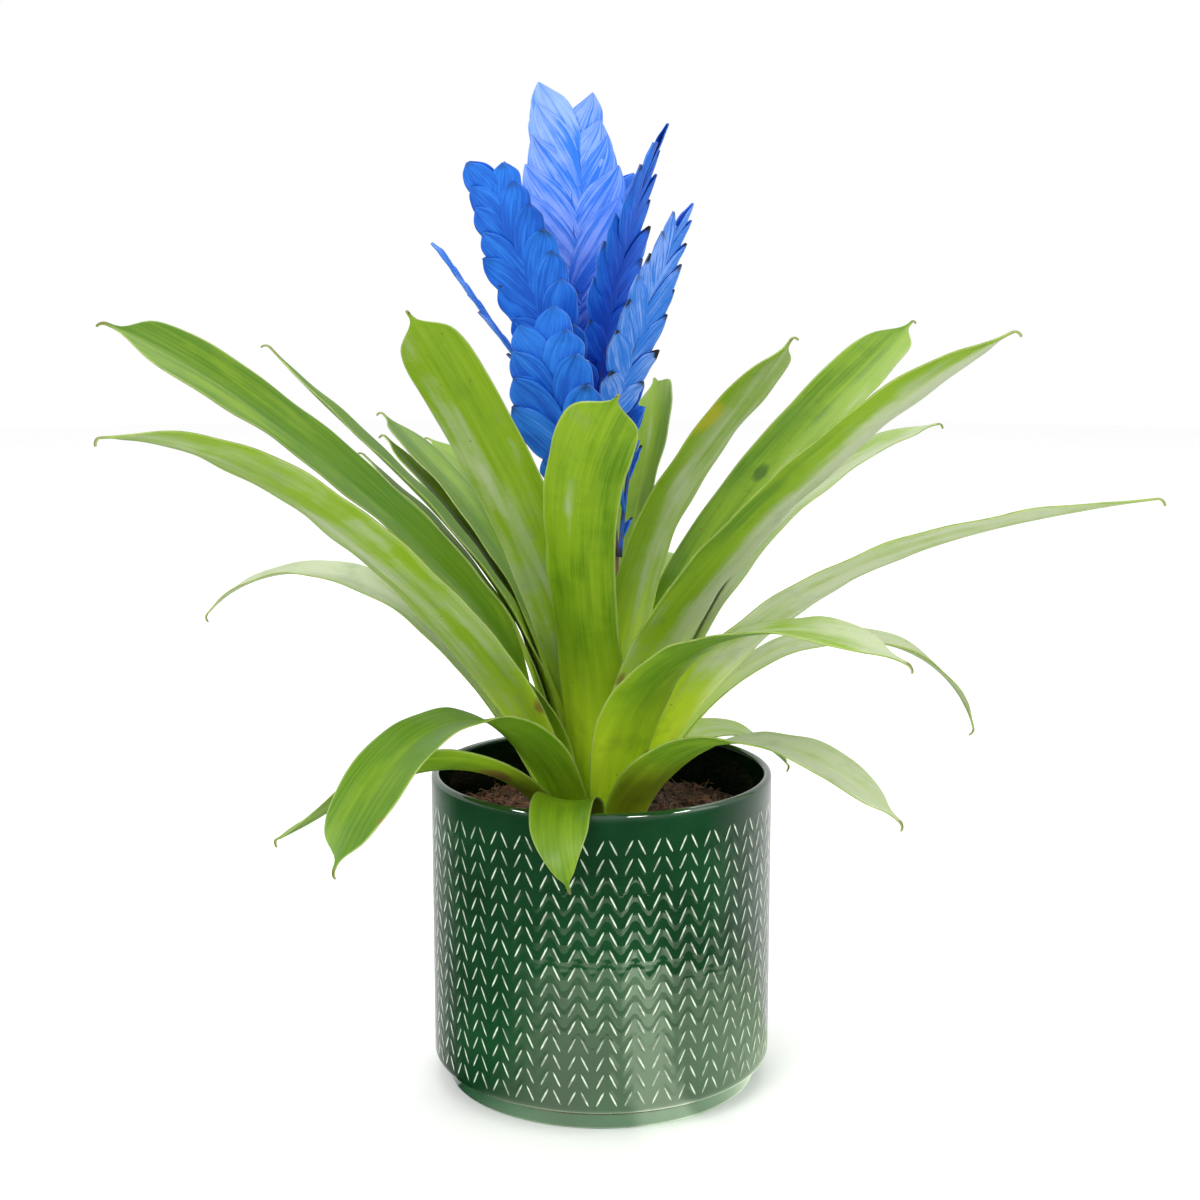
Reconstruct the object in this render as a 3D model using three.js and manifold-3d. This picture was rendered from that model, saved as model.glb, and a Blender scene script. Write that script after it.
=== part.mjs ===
// Potted vriesea with a branched head of blue bracts in a glazed cover pot.
// Millimetres, +Z up, the viewer stands at -Y. The origin is the middle of the pot's underside.

import * as THREE from 'three';
import * as BufferGeometryUtils from 'three/addons/utils/BufferGeometryUtils.js';
import Module from 'manifold-3d';

const wasm = await Module();
wasm.setup();

// Pot
const POT_RADIUS = 75;
const POT_HEIGHT = 138;
const POT_WALL = 3.8;
const FOOT_RADIUS = 69;
const FOOT_HEIGHT = 8;
const FLOOR_HEIGHT = 7;
const RIM_ROUND = 1.8;
const CHEVRON_COLUMNS = 80;
const CHEVRON_ROWS = 15;
const CHEVRON_PITCH = 7.7;
const CHEVRON_BOTTOM = 12.2;
const CHEVRON_DEPTH = 0.5;
const CHEVRON_LEAN = 0.9;
const BAND_MARGIN = 0.01;
const FOOT_ROUND = 1.4;
const WELD = 1e-4;

// Soil and crown
const GAP = 0.3;
const SOIL_LEVEL = 115;
const SOIL_ROUGHNESS = 1.6;
const SOIL_SIDES = 28;
const SOIL_RINGS = [0, 9, 19, 30];
const SOIL_DIP_WIDTH = 6;
const SOIL_DIP = 3;
const SOIL_HOLE_RADIUS = 26.4;
const SOIL_HOLE_FLOOR = 96;
const CROWN_RADIUS = 26;
const CROWN_TOP = 113.6;
const CROWN_SIDES = 20;
const CROWN_TAPER = 6;
const CROWN_SHOULDER = 1.5;

// Flower stalk
const STALK_FOOT_RADIUS = 4.8;
const STALK_TOP_RADIUS = 2.6;
const STALK_SIDES = 10;
const STALK_STEPS = 12;
const STALK_POINTS = [
  [0, 0, 113.9], [2, 1, 180], [4, 4, 240], [0, 5, 268], [-5, 6, 292], [-8, 6, 306],
];

// Leaves: the sheaths stand in rings round the stalk and flare out into channelled blades
const LEAF_THICKNESS = 0.8;
const RING_START = 8.6;
const RING_STEP = 1.25;
const SHEATH_LENGTH = 34;
const SHEATH_WIDTH = 0.7;
const CHANNEL_RADIUS = 45;
const CHANNEL_RUN = 110;
const TWIST_START = 25;
const TWIST_RUN = 80;
const LEAF_ROOT = CROWN_TOP + GAP;
const LEAF_STEPS = 60;
const LEAF_STATIONS = [0, 4, 8, 12, 17, 23, 30, 37, 44, 50, 56, 60];
const LEAF_ACROSS = 4;
const LEAF_FULL_FROM = 0.3;
const LEAF_TAPER_FROM = 0.55;
const LEAF_TAPER_POWER = 2.6;
const LEAF_TIP = 0.04;

// One row for each leaf: turn round the axis, sideways sway, ring, four headings above the
// level from root to tip, length, width, twist, and the rise of the sheath
const LEAVES = [
  ['leaf-01', 222, -4, 7, [100, 22, 52, 23], 312, 32, -46, 58],
  ['leaf-02', 224, 4, 9, [77, 29, 52, 0], 308, 32, 11, 62],
  ['leaf-03', 163, 0, 8, [64, 62, 23, -49], 228, 29, -6, 54],
  ['leaf-04', 186, -3, 3, [97, 62, 33, 48], 252, 26, -3, 72],
  ['leaf-05', 145, -3, 2, [98, 63, 34, 33], 222, 32, 10, 76],
  ['leaf-06', 154, -9, 5, [100, 68, 37, 31], 207, 26, 10, 67],
  ['leaf-07', 188, -12, 6, [96, 80, 38, 43], 190, 25, 2, 65],
  ['leaf-08', 229, 5, 0, [101, 56, 56, 42], 260, 28, 41, 87],
  ['leaf-09', 258, 14, 2, [103, 42, 38, 35], 258, 31, -17, 73],
  ['leaf-10', 61, 16, 0, [103, 74, 50, 19], 235, 30, -34, 89],
  ['leaf-11', 314, -4, 1, [89, 106, 19, 48], 249, 31, 4, 76],
  ['leaf-12', 36, 1, 3, [93, 45, 36, 33], 290, 32, 19, 76],
  ['leaf-13', 305, 6, 5, [104, 17, 50, 26], 308, 33, 1, 74],
  ['leaf-14', 25, -2, 4, [82, 61, 39, 10], 246, 27, 9, 73],
  ['leaf-15', 316, 4, 6, [73, 37, 20, 10], 299, 32, -7, 65],
  ['leaf-16', 282, 15, 8, [91, 3, 49, -22], 252, 30, 9, 57],
  ['leaf-17', 5, 4, 7, [77, 48, -2, -74], 212, 28, 4, 61],
  ['leaf-18', 295, 10, 9, [49, 34, 13, -40], 192, 31, -3, 52],
  ['leaf-19', 43, 1, 8, [70, 3, -22, -43], 127, 25, 17, 54],
  ['leaf-20', 237, 1, 10, [64, 52, -27, -51], 202, 32, 1, 57],
  ['leaf-21', 218, 9, 12, [52, 27, -34, 0], 168, 33, 35, 50],
  ['leaf-22', 254, 8, 13, [56, 42, -12, -98], 94, 26, -12, 44],
  ['leaf-23', 85, 4, 1, [92, 59, 51, 33], 251, 29, 7, 85],
  ['leaf-24', 121, 3, 4, [100, 59, 31, 11], 231, 30, 8, 70],
  ['leaf-25', 79, -3, 5, [72, 48, 20, -20], 207, 30, 5, 67],
  ['leaf-26', 94, 4, 9, [60, 30, -10, -50], 135, 29, 4, 48],
];

// Flower head: one row for each flattened spike: height of its root on the stalk, the way it
// faces, lean out at the root, bend over its length, sideways lean, length, bracts and size
const BRACT_ANGLE = 32;
const BRACT_TIP_ANGLE = 14;
const BRACT_REACH = 40;
const BRACT_WIDTH = 22;
const BRACT_BELLY = 1.5;
const BRACT_CURL = 1.4;
const BRACT_LIFT = 0.7;
const BRACT_SPREAD = 4;
const BRACT_FIRST = 0.6;
const BRACT_FULL_FROM = 0.35;
const BRACT_LAST = 0.75;
const BARE_FOOT = 3;
const BARE_TIP = 7;
const BRACT_OUTLINE = [
  [0, -0.16], [0.42, -0.5], [0.8, -0.36], [1, 0], [0.8, 0.36], [0.42, 0.5], [0, 0.16],
];
const CORE_HALF = 1.1;
const CORE_SEGMENTS = 6;
const CORE_TAPER = 0.4;
const CORE_END = 4;
const SPIKE_STEPS = 24;
const SPIKE_TOLERANCE = 0.15;
const SPIKES = [
  ['spike-01', 306, 265, -7, 1, -4, 134, 12, 1.05],
  ['spike-02', 284, 242, 17, 0, -14, 141, 10, 0.84],
  ['spike-03', 295, 314, 6, 26, 2, 140, 9, 0.7],
  ['spike-04', 279, 318, 18, 9, 2, 121, 9, 0.72],
  ['spike-05', 274, 180, 35, 1, 0, 130, 7, 0.5],
  ['spike-06', 244, 246, 32, -36, -11, 103, 8, 0.95],
  ['spike-07', 258, 40, 14, 0, 0, 61, 4, 0.45],
  ['spike-08', 263, 116, 18, 0, 12, 145, 7, 0.6],
  ['spike-09', 286, 90, 12, 0, -6, 130, 7, 0.72],
  ['spike-10', 248, 88, 22, 0, 0, 92, 5, 0.6],
  ['spike-11', 232, 320, 1, 9, 5, 62, 4, 0.46],
];

const TINTS = {
  glaze: [0x0d3f2a, 0.12],
  soil: [0x2f2018, 0.95],
  crown: [0x8a9a4a, 0.7],
  stalk: [0x5a3a3c, 0.6],
  leaf: [0x5f9a2a, 0.4],
  bract: [0x2f55cf, 0.55],
};

function material(tint) {
  const [color, roughness] = TINTS[tint];
  return new THREE.MeshStandardMaterial({ color, roughness, metalness: 0 });
}

function named(name, geometry, tint) {
  const mesh = new THREE.Mesh(geometry, material(tint));
  mesh.name = name;
  return mesh;
}

// Repeatable draws between 0 and 1
function seededDraws(seed) {
  let state = seed;
  return () => {
    state = (state * 1664525 + 1013904223) % 4294967296;
    return state / 4294967296;
  };
}

function smooth(t) {
  const u = THREE.MathUtils.clamp(t, 0, 1);
  return u * u * (3 - 2 * u);
}

function geometryOf(points, faces) {
  const geometry = new THREE.BufferGeometry();
  const flat = points.flatMap((p) => [p.x, p.y, p.z]);
  geometry.setAttribute('position', new THREE.Float32BufferAttribute(flat, 3));
  geometry.setIndex(faces.flat());
  geometry.computeVertexNormals();
  return geometry;
}

// A profile of radius and height turned round the upright axis; it starts and ends on the axis
function turned(profile, sides) {
  const lathe = new THREE.LatheGeometry(profile.map(([r, z]) => new THREE.Vector2(r, z)), sides);
  lathe.rotateX(Math.PI / 2);
  lathe.deleteAttribute('normal');
  lathe.deleteAttribute('uv');
  return withoutSlivers(BufferGeometryUtils.mergeVertices(lathe, WELD));
}

// Faces whose corners fell together on the axis are left out
function withoutSlivers(geometry) {
  const corners = Array.from(geometry.index.array);
  const kept = [];
  for (let i = 0; i < corners.length; i += 3) {
    const [a, b, c] = corners.slice(i, i + 3);
    if (a !== b && b !== c && c !== a) {
      kept.push(a, b, c);
    }
  }
  geometry.setIndex(kept);
  return geometry;
}

function moveEach(geometry, move) {
  const position = geometry.getAttribute('position');
  const point = new THREE.Vector3();
  for (let i = 0; i < position.count; i += 1) {
    point.fromBufferAttribute(position, i);
    move(point, i);
    position.setXYZ(i, point.x, point.y, point.z);
  }
  geometry.computeVertexNormals();
  return geometry;
}

// Within the chevron band the wall folds in and out, and the folds lean to and fro
function foldChevrons(point) {
  const row = Math.round((point.z - CHEVRON_BOTTOM) / CHEVRON_PITCH);
  const radius = Math.hypot(point.x, point.y);
  if (row < 0 || row > CHEVRON_ROWS || radius < POT_RADIUS - BAND_MARGIN) {
    return;
  }
  const turn = Math.atan2(point.y, point.x);
  const column = Math.round((turn / (2 * Math.PI)) * CHEVRON_COLUMNS) + CHEVRON_COLUMNS;
  const way = (row % 2 === 0 ? 1 : -1) * (column % 4 < 2 ? 1 : -1);
  const angle = turn + THREE.MathUtils.degToRad(CHEVRON_LEAN) * way;
  const folded = POT_RADIUS - (column % 2 === 0 ? CHEVRON_DEPTH : 0);
  point.set(folded * Math.cos(angle), folded * Math.sin(angle), point.z);
}

function pot() {
  const inner = POT_RADIUS - POT_WALL;
  const profile = [
    [0, 0],
    [FOOT_RADIUS, 0],
    [FOOT_RADIUS, FOOT_HEIGHT],
    [POT_RADIUS - FOOT_ROUND, FOOT_HEIGHT + FOOT_ROUND / 2],
  ];
  for (let row = 0; row <= CHEVRON_ROWS; row += 1) {
    profile.push([POT_RADIUS, CHEVRON_BOTTOM + row * CHEVRON_PITCH]);
  }
  profile.push([POT_RADIUS, POT_HEIGHT - RIM_ROUND]);
  profile.push([POT_RADIUS - RIM_ROUND / 2, POT_HEIGHT]);
  profile.push([inner + RIM_ROUND / 2, POT_HEIGHT]);
  profile.push([inner, POT_HEIGHT - RIM_ROUND]);
  profile.push([inner, FLOOR_HEIGHT]);
  profile.push([0, FLOOR_HEIGHT]);
  const geometry = moveEach(turned(profile, CHEVRON_COLUMNS), foldChevrons);
  return named('pot', geometry, 'glaze');
}

function soil() {
  const draw = seededDraws(11);
  const outer = POT_RADIUS - POT_WALL - 2 * GAP;
  const profile = [
    [0, FLOOR_HEIGHT + GAP],
    [outer, FLOOR_HEIGHT + GAP],
    ...SOIL_RINGS.map((inset) => [outer - inset, SOIL_LEVEL]),
    [SOIL_HOLE_RADIUS + SOIL_DIP_WIDTH, SOIL_LEVEL - SOIL_DIP / 3],
    [SOIL_HOLE_RADIUS, SOIL_LEVEL - SOIL_DIP],
    [SOIL_HOLE_RADIUS, SOIL_HOLE_FLOOR],
    [0, SOIL_HOLE_FLOOR],
  ];
  const geometry = moveEach(turned(profile, SOIL_SIDES), (point) => {
    if (point.z === SOIL_LEVEL) {
      point.z += (2 * draw() - 1) * SOIL_ROUGHNESS;
    }
  });
  return named('soil', geometry, 'soil');
}

function crown() {
  const foot = SOIL_HOLE_FLOOR + GAP;
  const profile = [
    [0, foot],
    [CROWN_RADIUS - CROWN_TAPER, foot],
    [CROWN_RADIUS - CROWN_SHOULDER, foot + CROWN_TAPER],
    [CROWN_RADIUS, CROWN_TOP - 2 * CROWN_SHOULDER],
    [CROWN_RADIUS, CROWN_TOP],
    [0, CROWN_TOP],
  ];
  return named('crown', turned(profile, CROWN_SIDES), 'crown');
}

// The stalk's middle is read off by height
function stalkMiddle(height) {
  const curve = new THREE.CatmullRomCurve3(STALK_POINTS.map((p) => new THREE.Vector3(...p)));
  const [low, high] = [STALK_POINTS[0][2], STALK_POINTS.at(-1)[2]];
  let [from, to] = [0, 1];
  const wanted = THREE.MathUtils.clamp(height, low, high);
  for (let i = 0; i < 40; i += 1) {
    const t = (from + to) / 2;
    if (curve.getPoint(t).z < wanted) {
      from = t;
    } else {
      to = t;
    }
  }
  return curve.getPoint((from + to) / 2);
}

function stalkRadius(height) {
  const [low, high] = [STALK_POINTS[0][2], STALK_POINTS.at(-1)[2]];
  return THREE.MathUtils.mapLinear(height, low, high, STALK_FOOT_RADIUS, STALK_TOP_RADIUS);
}

function stalk() {
  const [low, high] = [STALK_POINTS[0][2], STALK_POINTS.at(-1)[2]];
  const profile = [[0, low]];
  for (let step = 0; step <= STALK_STEPS; step += 1) {
    const height = THREE.MathUtils.lerp(low, high, step / STALK_STEPS);
    profile.push([stalkRadius(height), height]);
  }
  profile.push([0, high]);
  const geometry = moveEach(turned(profile, STALK_SIDES), (point) => {
    const middle = stalkMiddle(point.z);
    point.x += middle.x;
    point.y += middle.y;
  });
  return named('stalk', geometry, 'stalk');
}

function headingAt(leaf, s) {
  const [a, b, c, d] = leaf.headings;
  const t = 1 - s;
  const blade = a * t ** 3 + 3 * b * s * t * t + 3 * c * s * s * t + d * s ** 3;
  const hold = smooth(1 - (s * leaf.length) / SHEATH_LENGTH);
  return THREE.MathUtils.degToRad(blade + (leaf.rise - blade) * hold);
}

function leafMidline(leaf) {
  const step = leaf.length / LEAF_STEPS;
  let reach = RING_START + RING_STEP * leaf.ring;
  let height = LEAF_ROOT;
  const line = [];
  for (let i = 0; i <= LEAF_STEPS; i += 1) {
    const s = i / LEAF_STEPS;
    const turn = THREE.MathUtils.degToRad(leaf.turn + leaf.sway * s * s);
    line.push(new THREE.Vector3(reach * Math.cos(turn), reach * Math.sin(turn), height));
    const heading = headingAt(leaf, s + 0.5 / LEAF_STEPS);
    reach += step * Math.cos(heading);
    height += step * Math.sin(heading);
  }
  return line;
}

function leafHalfWidth(leaf, s) {
  const rise = SHEATH_WIDTH + (1 - SHEATH_WIDTH) * smooth(s / LEAF_FULL_FROM);
  const u = THREE.MathUtils.clamp((s - LEAF_TAPER_FROM) / (1 - LEAF_TAPER_FROM), 0, 1);
  return (leaf.width / 2) * rise * Math.max(Math.sqrt(1 - u ** LEAF_TAPER_POWER), LEAF_TIP);
}

// Direction along the leaf, across it and out of its upper face
function leafFrame(leaf, line, index) {
  const s = index / LEAF_STEPS;
  const before = line[Math.max(index - 1, 0)];
  const after = line[Math.min(index + 1, LEAF_STEPS)];
  const along = after.clone().sub(before).normalize();
  const turn = THREE.MathUtils.degToRad(leaf.turn + leaf.sway * s * s);
  const across = new THREE.Vector3(-Math.sin(turn), Math.cos(turn), 0);
  across.addScaledVector(along, -across.dot(along)).normalize();
  const twist = THREE.MathUtils.degToRad(leaf.twist);
  across.applyAxisAngle(along, twist * smooth((s * leaf.length - TWIST_START) / TWIST_RUN));
  return { along, across, up: along.clone().cross(across) };
}

function leafSection(leaf, line, index) {
  const s = index / LEAF_STEPS;
  const { across, up } = leafFrame(leaf, line, index);
  const start = RING_START + RING_STEP * leaf.ring;
  const bend = start + (CHANNEL_RADIUS - start) * smooth((s * leaf.length) / CHANNEL_RUN);
  const half = leafHalfWidth(leaf, s);
  const section = { upper: [], lower: [] };
  for (let i = 0; i <= LEAF_ACROSS; i += 1) {
    const angle = ((2 * i) / LEAF_ACROSS - 1) * (half / bend);
    const out = across.clone().multiplyScalar(-Math.sin(angle)).addScaledVector(up, Math.cos(angle));
    const point = line[index].clone().addScaledVector(up, bend).addScaledVector(out, -bend);
    section.upper.push(point.clone().addScaledVector(out, LEAF_THICKNESS / 2));
    section.lower.push(point.clone().addScaledVector(out, -LEAF_THICKNESS / 2));
  }
  return section;
}

function leafGeometry(leaf) {
  const line = leafMidline(leaf);
  const rings = LEAF_STATIONS.map((index) => {
    const { upper, lower } = leafSection(leaf, line, index);
    return [...lower, ...upper.reverse()];
  });
  return blade(rings);
}

// Closed body from loops that run along the lower face and back along the upper face
function blade(loops) {
  const count = loops[0].length;
  const half = count / 2;
  const points = loops.flat();
  const at = (loop, i) => loop * count + (i % count);
  const faces = [];
  for (let loop = 0; loop + 1 < loops.length; loop += 1) {
    for (let i = 0; i < count; i += 1) {
      const [a, b] = [at(loop, i), at(loop, i + 1)];
      const [c, d] = [at(loop + 1, i + 1), at(loop + 1, i)];
      if (i < half) {
        faces.push([a, b, c], [a, c, d]);
      } else {
        faces.push([a, b, d], [b, c, d]);
      }
    }
  }
  for (let i = 0; i + 1 < half; i += 1) {
    const [a, b, c, d] = [i, i + 1, count - 2 - i, count - 1 - i];
    faces.push([at(0, a), at(0, d), at(0, c)], [at(0, a), at(0, c), at(0, b)]);
    const end = loops.length - 1;
    faces.push([at(end, a), at(end, b), at(end, c)], [at(end, a), at(end, c), at(end, d)]);
  }
  return geometryOf(points, faces);
}

function leafOf(row) {
  const [name, turn, sway, ring, headings, length, width, twist, rise] = row;
  const leaf = { turn, sway, ring, headings, length, width, twist, rise };
  return named(name, leafGeometry(leaf), 'leaf');
}

// Rachis of a spike: points along it, and at each the ways along, across and out of its face
function spikeLine(spike) {
  const face = THREE.MathUtils.degToRad(spike.face);
  const outward = new THREE.Vector3(Math.cos(face), Math.sin(face), 0);
  const upward = new THREE.Vector3(0, 0, 1);
  const side = THREE.MathUtils.degToRad(spike.side);
  const point = stalkMiddle(spike.root);
  if (spike.root < STALK_POINTS.at(-1)[2]) {
    point.addScaledVector(outward, stalkRadius(spike.root) + CORE_HALF + GAP);
  } else {
    point.z += 1.5 * GAP;
  }
  const line = [];
  for (let i = 0; i <= SPIKE_STEPS; i += 1) {
    const lean = THREE.MathUtils.degToRad(spike.lean + (spike.bend * i) / SPIKE_STEPS);
    const rise = upward.clone().multiplyScalar(Math.cos(lean)).addScaledVector(outward, Math.sin(lean));
    const out = outward.clone().multiplyScalar(Math.cos(lean)).addScaledVector(upward, -Math.sin(lean));
    const flank = rise.clone().cross(out);
    const along = rise.clone().multiplyScalar(Math.cos(side)).addScaledVector(flank, Math.sin(side));
    line.push({ point: point.clone(), along, out, across: along.clone().cross(out) });
    point.addScaledVector(along, spike.length / SPIKE_STEPS);
  }
  return line;
}

function solid(geometry) {
  return new wasm.Manifold(new wasm.Mesh({
    numProp: 3,
    vertProperties: new Float32Array(geometry.getAttribute('position').array),
    triVerts: new Uint32Array(geometry.index.array),
  }));
}

// Closed pockets between bracts are filled
function outerShell(body) {
  return body.decompose().reduce((big, part) => (part.volume() > big.volume() ? part : big));
}

function geometryOfSolid(body) {
  const mesh = body.getMesh();
  const geometry = new THREE.BufferGeometry();
  geometry.setAttribute('position', new THREE.BufferAttribute(mesh.vertProperties, 3));
  geometry.setIndex(new THREE.BufferAttribute(mesh.triVerts, 1));
  geometry.computeVertexNormals();
  return geometry;
}

// Slim four-sided core that carries the bracts
function spikeCore(spike, line) {
  const box = new THREE.BoxGeometry(2, 2, 1, 1, 1, CORE_SEGMENTS);
  box.deleteAttribute('normal');
  box.deleteAttribute('uv');
  const core = BufferGeometryUtils.mergeVertices(box, WELD);
  return moveEach(core, (point) => {
    const s = point.z + 0.5;
    const place = line[Math.round(s * (SPIKE_STEPS - CORE_END))];
    const half = CORE_HALF * (1 - CORE_TAPER * s);
    const [x, y] = [point.x * half, point.y * half];
    point.copy(place.point).addScaledVector(place.across, -x).addScaledVector(place.out, y);
  });
}

// A boat-shaped bract: a sharp outline with a raised middle on both faces
function bract(place, flank, angle, reach, width, curl, lift) {
  const turn = THREE.MathUtils.degToRad(angle) * flank;
  const along = place.along.clone().applyAxisAngle(place.out, -turn);
  const across = place.across.clone().applyAxisAngle(place.out, -turn);
  const at = (l, w, n) => place.point.clone()
    .addScaledVector(along, l * reach)
    .addScaledVector(across, w * width)
    .addScaledVector(place.out, n + lift + curl * l * l);
  const count = BRACT_OUTLINE.length;
  const outline = BRACT_OUTLINE.map(([l, w]) => at(l, w, 0));
  const points = [...outline, at(0.5, 0, BRACT_BELLY), at(0.5, 0, -BRACT_BELLY)];
  const faces = [];
  for (let i = 0; i < count; i += 1) {
    const next = (i + 1) % count;
    faces.push([count, next, i], [count + 1, i, next]);
  }
  return geometryOf(points, faces);
}

function spikeOf(row, index) {
  const [name, root, face, lean, bend, side, length, bracts, size] = row;
  const spike = { root, face, lean, bend, side, length };
  const line = spikeLine(spike);
  const draw = seededDraws(101 + index);
  let body = solid(spikeCore(spike, line));
  for (let i = 0; i < bracts; i += 1) {
    const t = i / (bracts - 1);
    const place = line[Math.round(THREE.MathUtils.lerp(BARE_FOOT, SPIKE_STEPS - BARE_TIP, t))];
    const flank = i % 2 === 0 ? 1 : -1;
    const spread = BRACT_SPREAD * (draw() - 0.5);
    const angle = THREE.MathUtils.lerp(BRACT_ANGLE, BRACT_TIP_ANGLE, t ** 2) + spread;
    const grown = THREE.MathUtils.lerp(BRACT_FIRST, 1, smooth(t / BRACT_FULL_FROM));
    const young = grown - (1 - BRACT_LAST) * t * t;
    const reach = BRACT_REACH * size * young * (0.95 + 0.1 * draw());
    const width = BRACT_WIDTH * size * (0.94 + 0.12 * draw());
    const curl = BRACT_CURL * (draw() - 0.5);
    const lift = BRACT_LIFT * (draw() - 0.5);
    body = body.add(solid(bract(place, flank, angle, reach, width, curl, lift)));
  }
  return named(name, geometryOfSolid(outerShell(body.simplify(SPIKE_TOLERANCE))), 'bract');
}

const group = new THREE.Group();
group.add(pot(), soil(), crown(), stalk());
for (const row of LEAVES) {
  group.add(leafOf(row));
}
SPIKES.forEach((row, index) => group.add(spikeOf(row, index)));
export default group;
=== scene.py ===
"""Looks of a potted vriesea with a branched head of blue bracts in a glazed cover pot.

Lengths in the tables are millimetres, but for the stage's and the properties'. The scene is in
metres, with +Z up and the viewer at -Y.
"""

import math

import bmesh
import bpy
from mathutils import Matrix, Vector


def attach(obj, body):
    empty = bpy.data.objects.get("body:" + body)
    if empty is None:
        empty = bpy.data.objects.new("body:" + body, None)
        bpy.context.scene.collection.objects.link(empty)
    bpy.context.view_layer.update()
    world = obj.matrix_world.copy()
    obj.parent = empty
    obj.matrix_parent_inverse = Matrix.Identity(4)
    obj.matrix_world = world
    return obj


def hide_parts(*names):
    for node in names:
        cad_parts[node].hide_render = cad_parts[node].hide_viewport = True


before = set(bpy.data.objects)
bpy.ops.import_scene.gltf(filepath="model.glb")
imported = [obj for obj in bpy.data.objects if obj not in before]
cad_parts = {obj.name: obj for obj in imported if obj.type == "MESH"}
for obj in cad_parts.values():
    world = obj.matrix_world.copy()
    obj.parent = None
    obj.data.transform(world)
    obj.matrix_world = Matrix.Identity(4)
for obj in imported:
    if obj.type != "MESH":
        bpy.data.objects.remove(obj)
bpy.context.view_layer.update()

bl_info = {
    "name": "Potted vriesea",
    "version": (1, 0, 0),
    "blender": (4, 5, 0),
    "location": "View3D > Sidebar > Vriesea",
    "description": "Builds the pot, soil, leaves and flower head of a potted vriesea",
    "category": "Object",
}

MM = 0.001

# Gap that the solids leave between pieces that rest on each other
GAP = 0.3

# Pot: a straight wall with rows of slanted dashes in columns that lean to and fro
POT_RADIUS = 75.0
POT_INNER = 71.2
POT_HEIGHT = 138.0
POT_FLOOR = 7.0
POT_FOOT_TOP = 9.5
RIM_ROUND = 1.9
WALL_TOP = 131.5
COLUMNS = 80
ROWS = 15
ROW_PITCH = 7.7
ROW_BOTTOM = 12.2

# Dash: half width, lean and shift in degrees round the pot, its levels in a row from 0 to 1, each
# with the share of the width that it has there, the most degrees that one of its faces spans, and
# the widths of its flat lip and of its slope
DASH_HALF_WIDTH = 0.34
DASH_LEAN = 1.45
DASH_SHIFT = 0.2
DASH_LEVELS = ((0.09, 0.3), (0.27, 1.0), (0.50, 1.0), (0.73, 1.0), (0.91, 0.3))
DASH_FACE_SPAN = 2.2
DASH_LIP = 0.05
DASH_SLOPE = 0.16
PATTERN_TURN = -2.9
RIDGE_DEPTH = 0.08
RIDGE_SWAY = 0.42
RIDGE_BUMP = 0.00023

# Peat, which dips round the hole for the crown, and the loose bits on it
SOIL_TOP = 115.0
SOIL_HOLE = 26.4
SOIL_HOLE_FLOOR = 96
SOIL_RINGS = 30
SOIL_STEPS = 150
DIP_DEPTH = 3
DIP_WIDTH = 7
PEAT_WAVES = ((0.7, 0.19), (0.5, 0.43), (0.35, 0.9), (0.25, 1.7))
PEAT_GRAIN = 0.9
CLODS = 760
CLOD_RADIUS = (0.5, 2.1)
FIBRES = 620
FIBRE_LENGTH = (3, 10)
FIBRE_WIDTH = (0.10, 0.26)
FIBRE_BEND = 4.6
FIBRE_RISE = 2.6
FIBRE_CUTS = 5

CROWN_STEPS = 72
CROWN_RIBS = 13
CROWN_RIB_DEPTH = 0.012

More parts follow.
